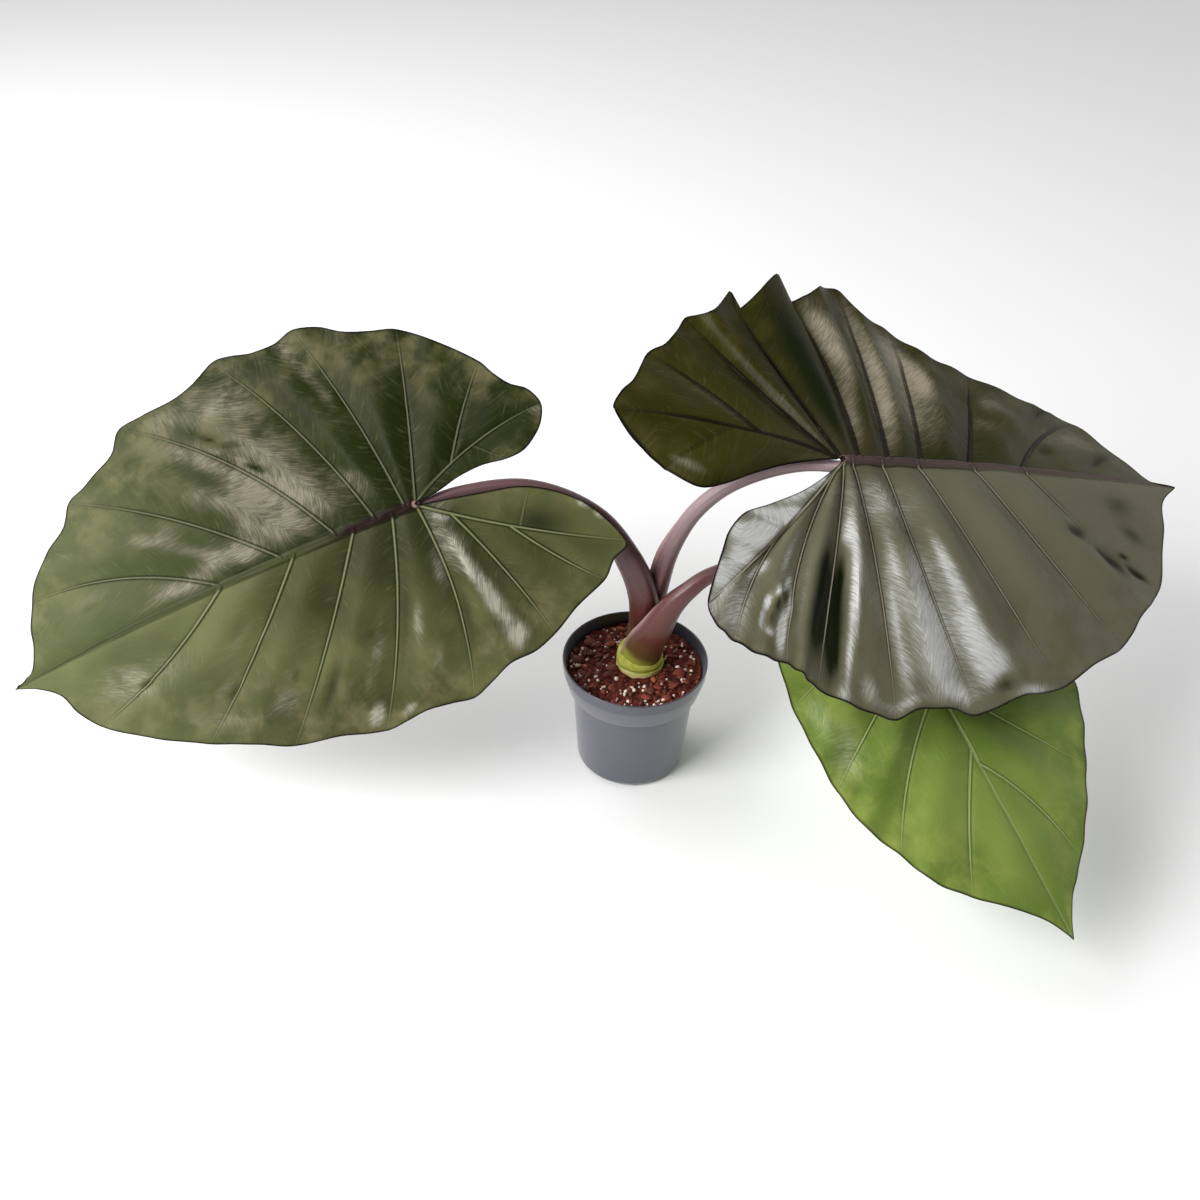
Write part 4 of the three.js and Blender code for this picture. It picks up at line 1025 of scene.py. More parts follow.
def rounded(corners, steps=4):
    """A profile with its inner corners rounded by short arcs."""
    result = [corners[0]]
    for before, here, after in zip(corners, corners[1:], corners[2:]):
        a, b, c = (np.array(p, float) for p in (before, here, after))
        one, two = a - b, c - b
        length, other = np.linalg.norm(one), np.linalg.norm(two)
        cut = min(PROFILE_ROUNDING, 0.45 * length, 0.45 * other)
        p, q = b + one / length * cut, b + two / other * cut
        result += [tuple(arc(n / steps, p, b, q)) for n in range(steps + 1)]
    return result + [corners[-1]]


def pot():
    outside = [
        (0, 0), (FOOT_RADIUS, 0), *FOOT_ROUNDING, (BODY_LOWER_RADIUS, BODY_LOWER_HEIGHT),
        (BODY_UPPER_RADIUS, BAND_LOWER_HEIGHT - 1), (BAND_LOWER_RADIUS, BAND_LOWER_HEIGHT),
        (RIM_RADIUS - 0.5, POT_HEIGHT - 10), (RIM_RADIUS, POT_HEIGHT - 2), (RIM_RADIUS, POT_HEIGHT),
    ]
    inside = [
        (RIM_RADIUS - POT_WALL, POT_HEIGHT), (inner_radius(81.5), 81.5),
        (BODY_UPPER_RADIUS - POT_WALL, BAND_LOWER_HEIGHT),
        (BODY_LOWER_RADIUS - POT_WALL, BODY_LOWER_HEIGHT),
        *FLOOR_ROUNDING, (0, FLOOR_THICKNESS),
    ]
    body = turned("nursery_pot", rounded(outside + inside), POT_SEGMENTS, SHARP_ANGLE)
    cutters = []
    for k in range(DRAIN_HOLE_COUNT):
        turn = 2 * math.pi * k / DRAIN_HOLE_COUNT
        angle = math.radians(FOOT_NOTCH_ANGLE + 30) + turn
        hole = Vector((DRAIN_HOLE_CIRCLE * math.cos(angle), DRAIN_HOLE_CIRCLE * math.sin(angle), 0)) * MM
        shape = bmesh.new()
        bmesh.ops.create_cone(
            shape, cap_ends=True, segments=DRAIN_HOLE_SEGMENTS, radius1=DRAIN_HOLE_RADIUS * MM,
            radius2=DRAIN_HOLE_RADIUS * MM, depth=10 * MM, matrix=Matrix.Translation(hole),
        )
        notch = Matrix.Rotation(math.radians(FOOT_NOTCH_ANGLE) + turn, 4, "Z")
        notch = notch @ Matrix.Translation((FOOT_NOTCH_CIRCLE * MM, 0, 0))
        size = (FOOT_NOTCH_LENGTH * MM, FOOT_NOTCH_WIDTH * MM, 2 * FOOT_NOTCH_HEIGHT * MM, 1)
        bmesh.ops.create_cube(shape, size=1, matrix=notch @ Matrix.Diagonal(size))
        mesh = bpy.data.meshes.new(f"pot_cut_{k}")
        shape.to_mesh(mesh)
        shape.free()
        cutters.append(new_object(mesh.name, mesh))
        cut = body.modifiers.new("cut", "BOOLEAN")
        cut.operation = "DIFFERENCE"
        cut.solver = "EXACT"
        cut.object = cutters[-1]
    bake_modifiers(body)
    for cutter in cutters:
        bpy.data.objects.remove(cutter)
    return body


def bake_modifiers(obj):
    """Replaces the object's mesh by what its modifiers make of it."""
    graph = bpy.context.evaluated_depsgraph_get()
    mesh = bpy.data.meshes.new_from_object(obj.evaluated_get(graph), depsgraph=graph)
    obj.modifiers.clear()
    obj.data = mesh
    mesh.shade_smooth()
    mesh.set_sharp_from_angle(angle=math.radians(SHARP_ANGLE))


def stem_base():
    """The stump: pale ring low down, leaf scars, then the swollen green collar."""
    r, low, top = STEM_BASE_RADIUS, STEM_BASE_BOTTOM, STEM_BASE_TOP
    corners = [
        (0, low), (r - 5, low), (r - 1, low + 6), (r, top - 20), (r + 0.4, top - 11.5), (r - 0.9, top - 10),
        (r - 0.2, top - 8), (r - 0.6, top - 4), (r - 1.6, top), (r - 3, top + 0.25), (0, top + 0.25),
    ]

    def waver(height, angles):
        return 0.25 * np.sin(3 * angles + height * 0.4) + 0.12 * np.sin(11 * angles + height * 0.9)

    profile = rounded(corners, 5)
    return turned("stem_collar", profile, STEM_BASE_SEGMENTS, ROUND_ANGLE, STEM_BASE_PLACE, waver)


# Soil


def soil_height(x, y):
    wide = np.sin(x * 0.11 + 1.3) * np.cos(y * 0.13 - 0.6)
    fine = np.sin(x * 0.41 + y * 0.23) * np.cos(y * 0.37 - x * 0.19 + 2)
    return SOIL_LEVEL + SOIL_LUMP * (0.6 * wide + 0.6 * fine)


def soil():
    angles = np.linspace(0, 2 * np.pi, SOIL_SEGMENTS, endpoint=False)
    hole_x, hole_y = STEM_BASE_PLACE
    hole = STEM_BASE_RADIUS + STEM_HOLE_GAP
    hole_floor = STEM_BASE_BOTTOM - SOIL_GAP
    above, below = (BAND_LOWER_HEIGHT + step for step in SOIL_BAND_STEP)
    levels = [
        (inner_radius(SOIL_SHOULDER) - SOIL_INSET, SOIL_SHOULDER),
        (inner_radius(above) - SOIL_INSET, above),
        (BODY_UPPER_RADIUS - POT_WALL - SOIL_INSET, below),
        (BODY_LOWER_RADIUS - POT_WALL - SOIL_INSET, BODY_LOWER_HEIGHT + SOIL_FOOT_RISE),
        *SOIL_FOOT,
    ]
    points = []
    # The surface runs from the hole round the stem base out to the pot's wall.
    for i in range(SOIL_RINGS + 1):
        share = i / SOIL_RINGS
        x = (1 - share) * (hole_x + hole * np.cos(angles)) + share * SOIL_TOP_RADIUS * np.cos(angles)
        y = (1 - share) * (hole_y + hole * np.sin(angles)) + share * SOIL_TOP_RADIUS * np.sin(angles)
        crumb = CRUMB_HEIGHT * (uneven(x, y, *CRUMB) / 6) * np.sin(np.pi * min(1, 3 * share) / 2)
        points.append(np.stack([x, y, soil_height(x, y) + crumb - (i == SOIL_RINGS)], 1))
    points += [circle(angles, radius, z) for radius, z in levels]
    points.append(circle(angles, hole, hole_floor, STEM_BASE_PLACE))
    points.append(np.array([[0, 0, SOIL_FOOT[-1][1]], [hole_x, hole_y, hole_floor]]))
    bottom = (SOIL_RINGS + len(levels)) * SOIL_SEGMENTS
    hole_ring = bottom + SOIL_SEGMENTS
    centre_low = hole_ring + SOIL_SEGMENTS
    faces = []
    for k in range(SOIL_SEGMENTS):
        n = (k + 1) % SOIL_SEGMENTS
        for a in range(0, bottom, SOIL_SEGMENTS):
            faces.append([a + k, a + SOIL_SEGMENTS + k, a + SOIL_SEGMENTS + n, a + n])
        faces.append([bottom + n, bottom + k, centre_low])
        faces.append([k, n, hole_ring + n, hole_ring + k])
        faces.append([hole_ring + k, hole_ring + n, centre_low + 1])
    return mesh_object("potting_mix", np.concatenate(points), faces, ROUND_ANGLE)


def random_turn(draw):
    q = draw.normal(size=4)
    w, x, y, z = q / np.linalg.norm(q)
    return np.array([
        [1 - 2 * (y * y + z * z), 2 * (x * y - z * w), 2 * (x * z + y * w)],
        [2 * (x * y + z * w), 1 - 2 * (x * x + z * z), 2 * (y * z - x * w)],
        [2 * (x * z - y * w), 2 * (y * z + x * w), 1 - 2 * (x * x + y * y)],
    ])


def flat_turn(draw):
    """A turn about the upright axis with a small random tilt."""
    spin, lean = draw.uniform(0, 2 * np.pi), draw.normal() * BARK_TILT
    return np.array(Matrix.Rotation(spin, 3, "Z") @ Matrix.Rotation(lean, 3, "X"))


def scattered(name, places, turned_by, rough, draw):
    """Many small uneven lumps as one mesh. A place is x, y, z, three radii and a shade."""
    ball = bmesh.new()
    bmesh.ops.create_icosphere(ball, subdivisions=3, radius=1)
    base = np.array([v.co[:] for v in ball.verts])
    base_faces = [[v.index for v in face.verts] for face in ball.faces]
    ball.free()
    points, faces, shades = [], [], []
    for x, y, z, radii, shade in places:
        pushes = draw.normal(size=(5, 3))
        pushes /= np.linalg.norm(pushes, axis=1, keepdims=True)
        amounts = draw.uniform(-rough, rough, 5)
        swell = 1 + (np.clip(base @ pushes.T, 0, 1) ** 2 @ amounts)
        shape = base * swell[:, None] * np.array(radii)
        faces += [[p + len(points) * len(base) for p in ring] for ring in base_faces]
        points.append(shape @ turned_by(draw).T + (x, y, z))
        shades += [shade] * len(base)
    obj = mesh_object(name, np.concatenate(points), faces)
    point_shades(obj.data, shades)
    return obj


def seeded_numbers(seed):
    """The run of numbers that also sets the grains of the soil's solid."""
    state = seed
    while True:
        state = (state * 1664525 + 1013904223) % 4294967296
        yield state / 4294967296


def clear_of_stem(x, y, room):
    return math.hypot(x - STEM_BASE_PLACE[0], y - STEM_BASE_PLACE[1]) > STEM_BASE_RADIUS + room


def perlite():
    next_number = seeded_numbers(GRAIN_SEED)
    draw = np.random.default_rng(PERLITE_SEED)
    places = []
    low, high = GRAIN_RADIUS
    for _ in range(GRAIN_COUNT):
        angle = next(next_number) * 2 * math.pi
        radius = math.sqrt(0.16 + 0.7 * next(next_number)) * SOIL_TOP_RADIUS
        x, y = radius * math.cos(angle), radius * math.sin(angle)
        size = low + (high - low) * next(next_number)
        flat = 0.7 + 0.3 * next(next_number)
        next(next_number)
        if clear_of_stem(x, y, 3):
            z = float(soil_height(x, y)) + size * 0.1
            places.append((x, y, z, (size, size * flat, size * 0.85), draw.uniform(0.5, 1)))
    while len(places) < ALL_GRAINS_COUNT:
        angle, radius = draw.uniform(0, 2 * np.pi), math.sqrt(draw.uniform(0.1, 0.97)) * (SOIL_TOP_RADIUS - 1)
        x, y = radius * math.cos(angle), radius * math.sin(angle)
        if clear_of_stem(x, y, 2):
            size = draw.uniform(0.6, 1.5)
            z = float(soil_height(x, y)) + size * 0.4
            places.append((x, y, z, (size, size * 0.8, size * 0.75), draw.uniform(0, 1)))
    return scattered("perlite_grains", places, random_turn, 0.35, draw)


def bark():
    draw = np.random.default_rng(BARK_SEED)
    places = []
    while len(places) < BARK_COUNT:
        angle, radius = draw.uniform(0, 2 * np.pi), math.sqrt(draw.uniform(0.05, 1)) * (SOIL_TOP_RADIUS - 1.6)
        x, y = radius * math.cos(angle), radius * math.sin(angle)
        size = draw.choice(BARK_SIZES, p=BARK_SHARES)
        if clear_of_stem(x, y, size * 0.8) and radius + size * 0.8 < SOIL_TOP_RADIUS:
            radii = (size, size * draw.uniform(0.4, 0.8), size * draw.uniform(0.3, 0.5))
            z = float(soil_height(x, y)) + radii[2] * draw.uniform(-0.1, 0.5)
            places.append((x, y, z, radii, draw.uniform(0, 1)))
    return scattered("bark_chunks", places, flat_turn, 0.45, draw)


# Materials. Colours are given by the usual 0 to 255 values.


def srgb(red, green, blue):
    """Linear colour from the usual values."""
    shares = red / 255, green / 255, blue / 255
    return tuple(c / 12.92 if c <= 0.04045 else ((c + 0.055) / 1.055) ** 2.4 for c in shares)


class Nodes:
    """A node tree: put() adds a node, and a node's output can be given wherever a value can."""

    def __init__(self, tree):
        self.tree = tree

    def put(self, kind, inputs=None, **settings):
        node = self.tree.nodes.new(kind)
        for key, value in settings.items():
            setattr(node, key, value)
        for key, value in (inputs or {}).items():
            if isinstance(value, bpy.types.NodeSocket):
                self.tree.links.new(value, node.inputs[key])
            else:
                node.inputs[key].default_value = value
        return node

    def range(self, value, low, high, to_low=0.0, to_high=1.0):
        inputs = {"Value": value, "From Min": low, "From Max": high, "To Min": to_low, "To Max": to_high}
        return self.put("ShaderNodeMapRange", inputs, interpolation_type="SMOOTHSTEP").outputs["Result"]

    def maths(self, operation, a, b):
        return self.put("ShaderNodeMath", {0: a, 1: b}, operation=operation).outputs[0]

    def plus(self, a, b):
        return self.maths("ADD", a, b)

    def minus(self, a, b):
        return self.maths("SUBTRACT", a, b)

    def times(self, a, b):
        return self.maths("MULTIPLY", a, b)

    def split(self, vector):
        return self.put("ShaderNodeSeparateXYZ", {0: vector}).outputs


class Look(Nodes):
    """A material made of nodes."""

    def __init__(self, name):
        self.material = bpy.data.materials.new(name)
        self.material.use_nodes = True
        super().__init__(self.material.node_tree)
        self.tree.nodes.clear()

    def marks(self, name):
        """Red, green, blue and alpha of a stored colour, as four outputs."""
        stored = self.put("ShaderNodeAttribute", attribute_name=name)
        split = self.put("ShaderNodeSeparateColor", {"Color": stored.outputs["Color"]})
        return [*split.outputs[:3], stored.outputs["Alpha"]]

    def map(self, name, x=1, y=1):
        uv = self.put("ShaderNodeUVMap", uv_map=name).outputs[0]
        return self.put("ShaderNodeMapping", {"Vector": uv, "Scale": (x, y, 1)}).outputs[0]

    def space(self, x=1, y=1, z=1):
        place = self.put("ShaderNodeTexCoord").outputs["Object"]
        return self.put("ShaderNodeMapping", {"Vector": place, "Scale": (x, y, z)}).outputs[0]

    def noise(self, vector, scale, detail, rough=0.55, distort=0.0):
        return self.put(
            "ShaderNodeTexNoise",
            {"Vector": vector, "Scale": scale, "Detail": detail, "Roughness": rough, "Distortion": distort},
        ).outputs["Fac"]

    def mix(self, share, a, b):
        """From colour a to colour b by a share. A colour is an output or three numbers."""
        node = self.put("ShaderNodeMix", {0: share}, data_type="RGBA", clamp_factor=True)
        for socket, value in ((node.inputs[6], a), (node.inputs[7], b)):
            if isinstance(value, bpy.types.NodeSocket):
                self.tree.links.new(value, socket)
            else:
                socket.default_value = (*srgb(*value), 1)
        return node.outputs[2]

    def over(self, colour, tone, share, amount):
        """A tone laid over a colour, by the product of a share and an amount."""
        return self.mix(self.times(share, amount), colour, tone)

    def bump(self, height, distance, strength, normal=None):
        """Low relief, with its height in millimetres."""
        inputs = {"Height": height, "Distance": distance * MM, "Strength": strength}
        if normal is not None:
            inputs["Normal"] = normal
        return self.put("ShaderNodeBump", inputs).outputs[0]

    def finish(self, colour, roughness, normal=None, **fixed):
        shader = self.put("ShaderNodeBsdfPrincipled", {"Base Color": colour, "Roughness": roughness})
        if normal is not None:
            self.tree.links.new(normal, shader.inputs["Normal"])
        for key, value in fixed.items():
            shader.inputs[key.replace("_", " ")].default_value = value
        self.put("ShaderNodeOutputMaterial", {"Surface": shader.outputs[0]})
        return self.material


def leaf_look(name, tones):
    look = Look(name)
    vein, painted_shade_line, midrib, edge = look.marks("marks")
    joint, half, out, below = look.marks("zones")
    bright, deep, crease = look.marks("shines")[:3]
    plane = look.map("leaf")
    wide = look.noise(plane, 0.9, 2, 0.5, 0.3)
    patch = look.noise(plane, 3.2, 4, 0.6, 0.2)
    streak = look.noise(look.map("barbs", 3.6, 0.6), 1.0, 4, 0.7, 0.6)
    fine = look.noise(look.map("barbs", 17, 1.2), 1.0, 3, 0.6, 0.3)
    grain = look.noise(plane, 75, 2, 0.6)

    # The skin: large patches, the second half painted as a whole for the light it catches (painted shade on
    # the left blade, painted sheen on the right), warmer outward, darker at the joint, paler toward the tip,
    # with pale streaks
    colour = look.mix(look.range(wide, 0.35, 0.65), tones["dark"], tones["green"])
    colour = look.over(colour, tones["half"], half, tones["painted_half_light_share"])
    warm = look.times(look.range(out, 0.3, 1.0), look.range(patch, 0.4, 0.68))
    colour = look.over(colour, tones["warm"], warm, tones["warmth"])
    colour = look.over(colour, tones["joint"], joint, 0.6)
    toward_tip = look.range(look.split(plane)[0], *LEAF_TIP_ZONE)
    colour = look.over(colour, tones["tip"], toward_tip, tones["tip_share"])
    colour = look.over(colour, tones["streak"], look.range(streak, 0.5, 0.78), tones["streak_share"])

    # Painted light: painted highlights and sheen broken up by hairs and patches, and painted shade in folds
    # and hollows
    hairs = look.range(look.plus(look.times(streak, 0.3), look.times(fine, 0.7)), 0.4, 0.62)
    share = look.times(bright, look.range(hairs, 0.0, 1.0, 0.7, 1.2))
    share = look.times(share, look.range(patch, 0.35, 0.6, tones["broken"], 1.1))
    depth = look.range(half, 0.0, 1.0, *tones["hairs"])
    kept = look.minus(1.0, look.times(depth, look.minus(1.0, hairs)))
    colour = look.over(colour, look.mix(half, *tones["painted_light"]), look.range(share, 0.05, 0.95), kept)
    # Painted shade in folds and hollows, in the deep tone.
    colour = look.mix(deep, colour, tones["deep"])
    colour = look.over(colour, tones["speck"], look.range(grain, 0.7, 0.78), 0.3)

    # The veins with painted shade lines beside them, the midrib and its joint, the margin and the underside
    colour = look.over(colour, tones["painted_shade_line"], painted_shade_line, tones["painted_shade_line_share"])
    colour = look.over(colour, look.mix(half, *tones["vein"]), vein, tones["vein_share"])
    crease = look.times(crease, look.range(half, 0.0, 1.0, *tones["crease_share"]))
    colour = look.mix(crease, colour, tones["crease"])
    colour = look.over(colour, look.mix(look.range(joint, 0.0, 0.4), *tones["midrib"]), midrib, 0.95)
    colour = look.mix(look.range(joint, *JOINT_KNOT), colour, tones["knot"])
    colour = look.mix(edge, colour, tones["edge"])
    under = look.over(tones["under"], tones["under_vein"], vein, 0.8)
    under = look.over(under, tones["under_vein"], midrib, 0.9)
    colour = look.mix(below, colour, under)

    rough = look.minus(look.range(patch, 0.3, 0.7, *tones["rough"]), look.times(bright, 0.08))
    relief = look.plus(streak, look.times(fine, 0.3))
    normal = look.bump(grain, 0.04, 0.6, look.bump(relief, tones["barb"], 1.0))
    return look.finish(
        colour, rough, normal, Specular_IOR_Level=tones["gloss"], Specular_Tint=(*tones["sheen"], 1)
    )


def stalk_look(name, upper_grey):
    """Dusky mauve skin with fine lines, reddish brown low down. The upper grey share is how far it turns
    paler grey higher up.
    """
    look = Look(name)
    wing = look.marks("marks")[0]
    side, _, height = look.split(look.space())
    lines = look.noise(look.map("length", 60, 1.6), 1.0, 3, 0.6)
    patch = look.noise(look.space(), 45, 3, 0.6)
    # The green of the collar climbs higher on the left, along a slanting border.
    wave = look.plus(look.plus(height, look.times(side, 0.55)), look.times(patch, 0.01))
    mauve = look.mix(look.range(lines, 0.3, 0.7), (84, 52, 54), (98, 64, 66))
    grey = look.mix(look.range(lines, 0.3, 0.7), (128, 108, 110), (144, 124, 126))
    mauve = look.over(mauve, grey, look.range(height, *STALK_GREY_HEIGHTS), upper_grey)
    russet = look.mix(look.range(lines, 0.35, 0.65), (78, 34, 28), (92, 44, 36))
    colour = look.mix(look.range(height, *STALK_MAUVE_HEIGHTS), russet, mauve)
    colour = look.mix(look.range(wave, *STALK_BROWN_HEIGHTS), colour, (92, 68, 32))
    colour = look.mix(look.range(wave, *STALK_GREEN_HEIGHTS), colour, (158, 160, 66))
    colour = look.over(colour, (182, 146, 142), wing, 0.6)
    speck = look.range(look.noise(look.space(), 900, 1), 0.68, 0.78)
    colour = look.over(colour, (180, 150, 130), speck, 0.3)
    return look.finish(colour, 0.36, look.bump(lines, 0.15, 0.6), Specular_IOR_Level=0.45)


def collar_look():
    look = Look("stem collar skin")
    height = look.split(look.space())[2]
    patch = look.noise(look.space(1, 1, 0.5), 120, 4, 0.6)
    wave = look.plus(height, look.times(patch, 0.004))
    green = look.mix(look.range(patch, 0.35, 0.65), (176, 184, 66), (208, 210, 100))
    colour = look.mix(look.range(wave, *COLLAR_TOP_HEIGHTS), (226, 214, 140), green)
    scar = look.times(look.range(height, *COLLAR_SCAR_RISE), look.range(height, *COLLAR_SCAR_FALL))
    colour = look.over(colour, (118, 134, 32), scar, 0.75)
    normal = look.bump(patch, 0.2, 0.7)
    return look.finish(colour, 0.38, normal, Specular_IOR_Level=0.5, Coat_Weight=0.15, Coat_Roughness=0.25)


def pot_look():
    look = Look("pot plastic")
    place = look.space()
    x, y, height = look.split(place)
    flat = look.put("ShaderNodeCombineXYZ", {0: x, 1: y}).outputs[0]
    radius = look.put("ShaderNodeVectorMath", {0: flat}, operation="LENGTH").outputs["Value"]
    # Inside the band the wall's radius less this slope times the height is the same all the way up.
    level = look.minus(radius, look.times(height, INSIDE_SLOPE))
    inside = look.times(look.range(level, *INSIDE_LEVELS), look.range(height, *INSIDE_HEIGHTS))
    cloud = look.noise(place, 26, 4, 0.6)
    grain = look.noise(place, 1400, 2, 0.6)
    scuff = look.range(look.noise(look.space(1, 1, 5), 60, 3, 0.7), 0.62, 0.78)
    colour = look.mix(cloud, (60, 61, 72), (70, 71, 82))
    colour = look.over(colour, (136, 138, 148), scuff, 0.15)
    colour = look.over(colour, (34, 38, 50), look.range(height, *BAND_SHADE_HEIGHTS), 0.16)
    # Painted shade: the band's inner wall takes a dark tone for the shade inside the pot.
    colour = look.mix(inside, colour, (34, 38, 50))
    rough = look.range(cloud, 0.3, 0.7, 0.32, 0.42)
    normal = look.bump(grain, 0.03, 0.8)
    return look.finish(colour, rough, normal, Specular_IOR_Level=0.8, Sheen_Weight=0.5, Sheen_Roughness=0.4)


def soil_look():
    look = Look("potting mix")
    clump = look.noise(look.space(), 260, 5, 0.7)
    fibre = look.noise(look.space(1, 2.4, 1), 700, 3, 0.7)
    colour = look.mix(look.range(clump, 0.35, 0.65), (44, 12, 8), (112, 44, 32))
    colour = look.mix(look.range(fibre, 0.6, 0.75), colour, (128, 60, 42))
    relief = look.plus(clump, look.times(fibre, 0.4))
    return look.finish(colour, 0.85, look.bump(relief, 1.2, 1.0), Specular_IOR_Level=0.25)


def bark_look():
    look = Look("bark")
    shade = look.marks("marks")[0]
    grain = look.noise(look.space(1, 1, 3), 500, 4, 0.7)
    colour = look.mix(shade, (52, 17, 11), (134, 56, 38))
    colour = look.mix(look.range(grain, 0.4, 0.75), colour, (126, 58, 38))
    colour = look.mix(look.range(shade, 0.93, 0.97), colour, (168, 96, 60))
    return look.finish(colour, 0.6, look.bump(grain, 0.5, 1.0), Specular_IOR_Level=0.4)


def perlite_look():
    look = Look("perlite")
    grain = look.noise(look.space(), 1500, 3, 0.6)
    colour = look.mix(look.marks("marks")[0], (206, 160, 146), (250, 238, 224))
    colour = look.mix(look.range(grain, 0.55, 0.75), colour, (190, 150, 132))
    return look.finish(colour, 0.8, look.bump(grain, 0.2, 0.8), Specular_IOR_Level=0.3)


# Tones of the leaves. A pair is for the first and the second half, or for along the midrib and its joint.
# The half tone is painted over the second half as a whole for the light it catches: painted shade on the
# left blade's far half, a painted sheen on the right blade's near half. The painted light pair colours the
# painted highlights and sheen, deep is the painted shade in folds, and the painted shade line darkens
# beside the veins.
DARK_TONES = dict(
    dark=(56, 59, 33), green=(86, 90, 54), warm=(124, 118, 84), warmth=0.5, half=(24, 34, 2), painted_half_light_share=0.9,
    tip=(118, 126, 84), tip_share=0.38, broken=0.6, joint=(30, 34, 14), streak=(118, 118, 84),
    streak_share=0.25, painted_light=((184, 182, 166), (134, 128, 111)), hairs=(0.35, 0.3), deep=(8, 12, 2),
    speck=(150, 150, 110), painted_shade_line=(8, 10, 4), painted_shade_line_share=0.9, vein=((80, 88, 48), (54, 58, 34)),
    vein_share=0.6, crease=(160, 164, 126), crease_share=(0.5, 0.28), midrib=((62, 66, 40), (30, 15, 15)),
    knot=(130, 108, 98), edge=(8, 4, 8), under=(78, 78, 62), under_vein=(112, 84, 76), rough=(0.36, 0.48),
    barb=0.2, gloss=0.08, sheen=(1.0, 0.92, 0.82),
)
METAL_TONES = dict(
    dark=(32, 34, 5), green=(46, 46, 10), warm=(74, 66, 30), warmth=0.5, half=(104, 103, 83), painted_half_light_share=0.9,
    tip=(98, 96, 76), tip_share=0.5, broken=0.9, joint=(64, 60, 42), streak=(100, 96, 76), streak_share=0.25,
    painted_light=((146, 137, 119), (196, 197, 193)), hairs=(0.12, 0.25), deep=(19, 24, 6), speck=(150, 150, 130),
    painted_shade_line=(6, 4, 4), painted_shade_line_share=0.9, vein=((20, 14, 12), (84, 80, 62)), vein_share=0.85,
    crease=(178, 170, 148), crease_share=(0.0, 0.6), midrib=((76, 62, 58), (68, 54, 52)), knot=(120, 96, 94),
    edge=(8, 4, 8), under=(82, 66, 66), under_vein=(104, 74, 76), rough=(0.26, 0.36), barb=0.3, gloss=0.07,
    sheen=(1.0, 0.95, 0.9),
)
GREEN_TONES = dict(
    dark=(80, 102, 36), green=(110, 130, 58), warm=(138, 150, 72), warmth=0.8, half=(90, 116, 42),
    painted_half_light_share=0.0, tip=(124, 140, 70), tip_share=0.3, broken=0.8, joint=(84, 104, 46),
    streak=(128, 144, 86), streak_share=0.35, painted_light=((166, 178, 140), (166, 178, 140)), hairs=(0.5, 0.5),
    deep=(50, 72, 24), speck=(170, 190, 110), painted_shade_line=(46, 62, 22), painted_shade_line_share=0.6,
    vein=((116, 132, 74), (112, 128, 70)), vein_share=0.6, crease=(168, 180, 124), crease_share=(0.6, 0.6),
    midrib=((136, 150, 92), (110, 116, 66)), knot=(150, 150, 100), edge=(46, 38, 26), under=(118, 140, 78),
    under_vein=(150, 158, 102), rough=(0.38, 0.5), barb=0.25, gloss=0.12, sheen=(1.0, 1.0, 0.92),
)


# The plant and its pot


def dress(piece, look, node):
    """The piece gets its look, rides with the plant, and takes the place of its solid, which is hidden."""
    piece.data.materials.append(look)
    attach(piece, "root")
    if node:
        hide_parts(node)


for name, leaf, node, slot, tones, seed in (
    ("left_blade", LEFT_LEAF, "blade_left", "blade_dark", DARK_TONES, 3),
    ("right_blade", RIGHT_LEAF, "blade_right", "blade_metal", METAL_TONES, 11),
    ("low_blade", LOW_LEAF, "blade_low", "blade_green", GREEN_TONES, 23),
):
    dress(blade(name, leaf, seed), leaf_look(name.replace("_", " "), tones), node)

for name, spec, node, upper_grey in (
    ("left_stalk", LEFT_STALK, "stalk_left", 0.2), ("right_stalk", RIGHT_STALK, "stalk_right", 0.9),
    ("low_stalk", LOW_STALK, "stalk_low", 0.25),
):
    dress(stalk(name, spec), stalk_look(name.replace("_", " "), upper_grey), node)

dress(stem_base(), collar_look(), "stem_base")
dress(pot(), pot_look(), "pot")
dress(soil(), soil_look(), "soil")
dress(bark(), bark_look(), None)
dress(perlite(), perlite_look(), None)


# Stage: floor, light and camera


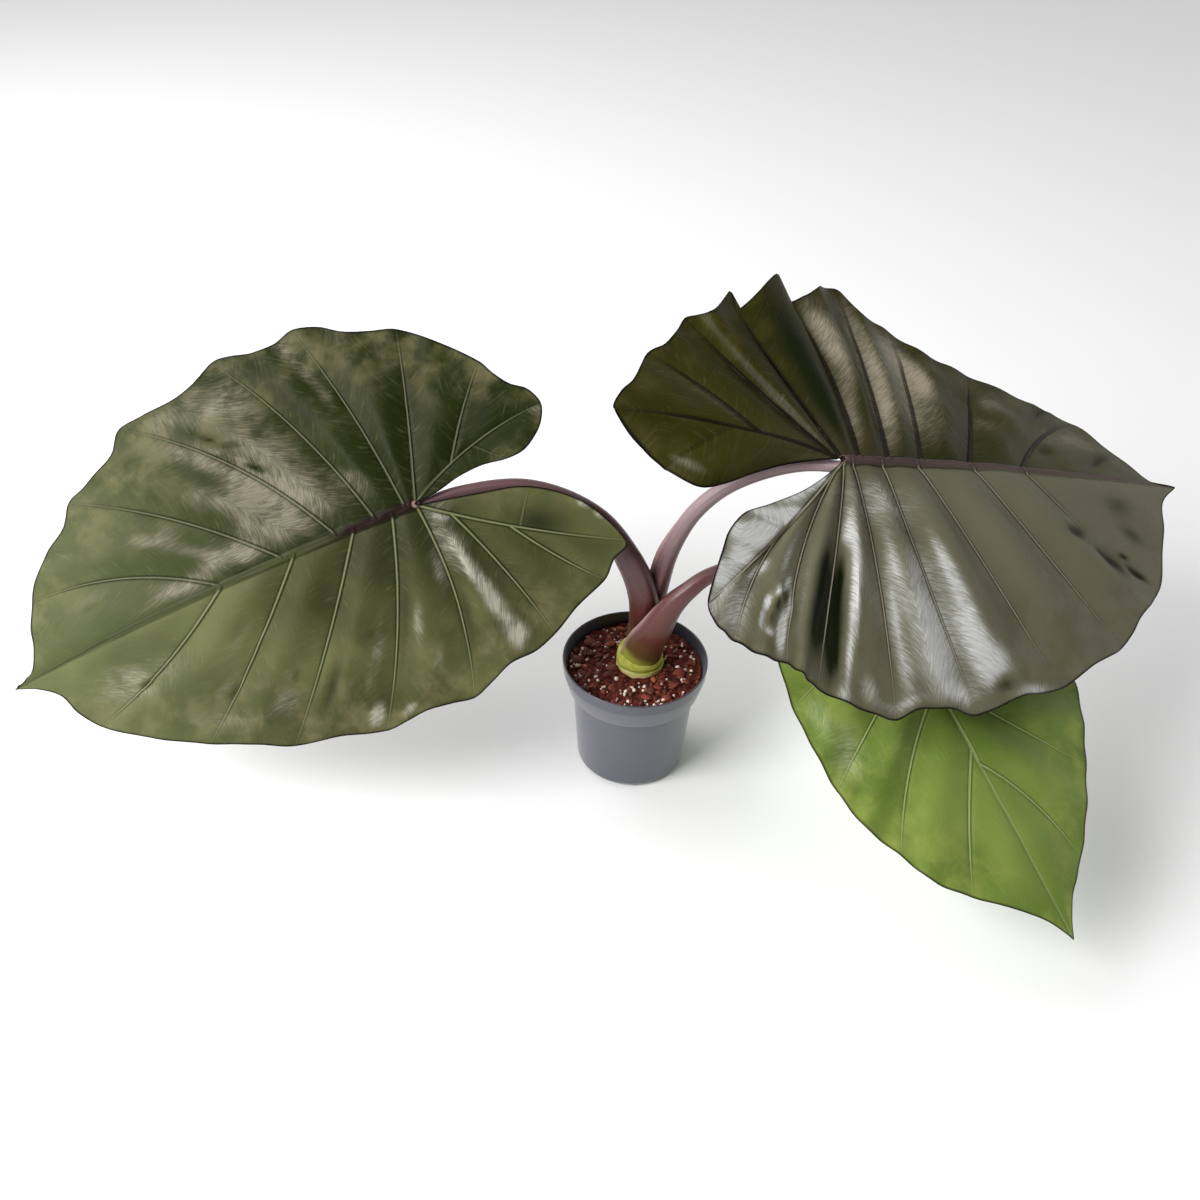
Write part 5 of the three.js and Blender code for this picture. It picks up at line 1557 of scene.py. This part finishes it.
def floor():
    mesh = bpy.data.meshes.new("floor")
    corners = [(x * FLOOR_HALF_SIZE, y * FLOOR_HALF_SIZE, 0) for x, y in ((-1, -1), (1, -1), (1, 1), (-1, 1))]
    mesh.from_pydata(corners, [], [[0, 1, 2, 3]])
    mesh.materials.append(Look("floor").finish((0.95, 0.95, 0.95, 1), 0.9, Specular_IOR_Level=0.0))
    new_object("floor", mesh)


def lamp(name, place, aim, size, power):
    """A large square lamp that stands at one place and points at another."""
    light = bpy.data.lights.new(name, "AREA")
    light.size = size
    light.energy = power
    obj = new_object(name, light)
    obj.location = place
    obj.rotation_euler = (Vector(aim) - Vector(place)).to_track_quat("-Z", "Y").to_euler()


def room():
    """Light from all round, brightest near the floor and at the left and the right, dimmer in front and
    overhead.
    """
    world = bpy.data.worlds.new("room")
    world.use_nodes = True
    nodes = Nodes(world.node_tree)
    direction = nodes.put("ShaderNodeTexCoord").outputs["Generated"]
    total = nodes.range(nodes.split(direction)[2], 0.1, 0.8, ROOM_HORIZON, ROOM_TOP)
    for middle, edge, core, strength in ROOM_PATCHES:
        inputs = {0: direction, 1: Vector(middle).normalized()}
        toward = nodes.put("ShaderNodeVectorMath", inputs, operation="DOT_PRODUCT").outputs["Value"]
        edge, core = math.cos(math.radians(edge)), math.cos(math.radians(core))
        total = nodes.plus(total, nodes.range(toward, edge, core, 0.0, strength))
    background = world.node_tree.nodes["Background"]
    background.inputs["Color"].default_value = (1, 1, 1, 1)
    world.node_tree.links.new(total, background.inputs["Strength"])
    bpy.context.scene.world = world


def camera():
    lens = bpy.data.cameras.new("camera")
    lens.sensor_width = 36
    lens.lens = 36 * FOCAL_PIXELS / PHOTO_SIZE
    lens.clip_start, lens.clip_end = 0.01, 100
    obj = new_object("camera", lens)
    turn = Matrix.Rotation(math.pi / 2 - CAMERA_PITCH, 4, "X") @ Matrix.Rotation(CAMERA_ROLL, 4, "Z")
    obj.matrix_world = Matrix.Translation(CAMERA_PLACE) @ turn
    bpy.context.scene.camera = obj


floor()
camera()
for values in LAMPS:
    lamp(*values)
room()
bpy.context.scene.view_settings.view_transform = "Standard"
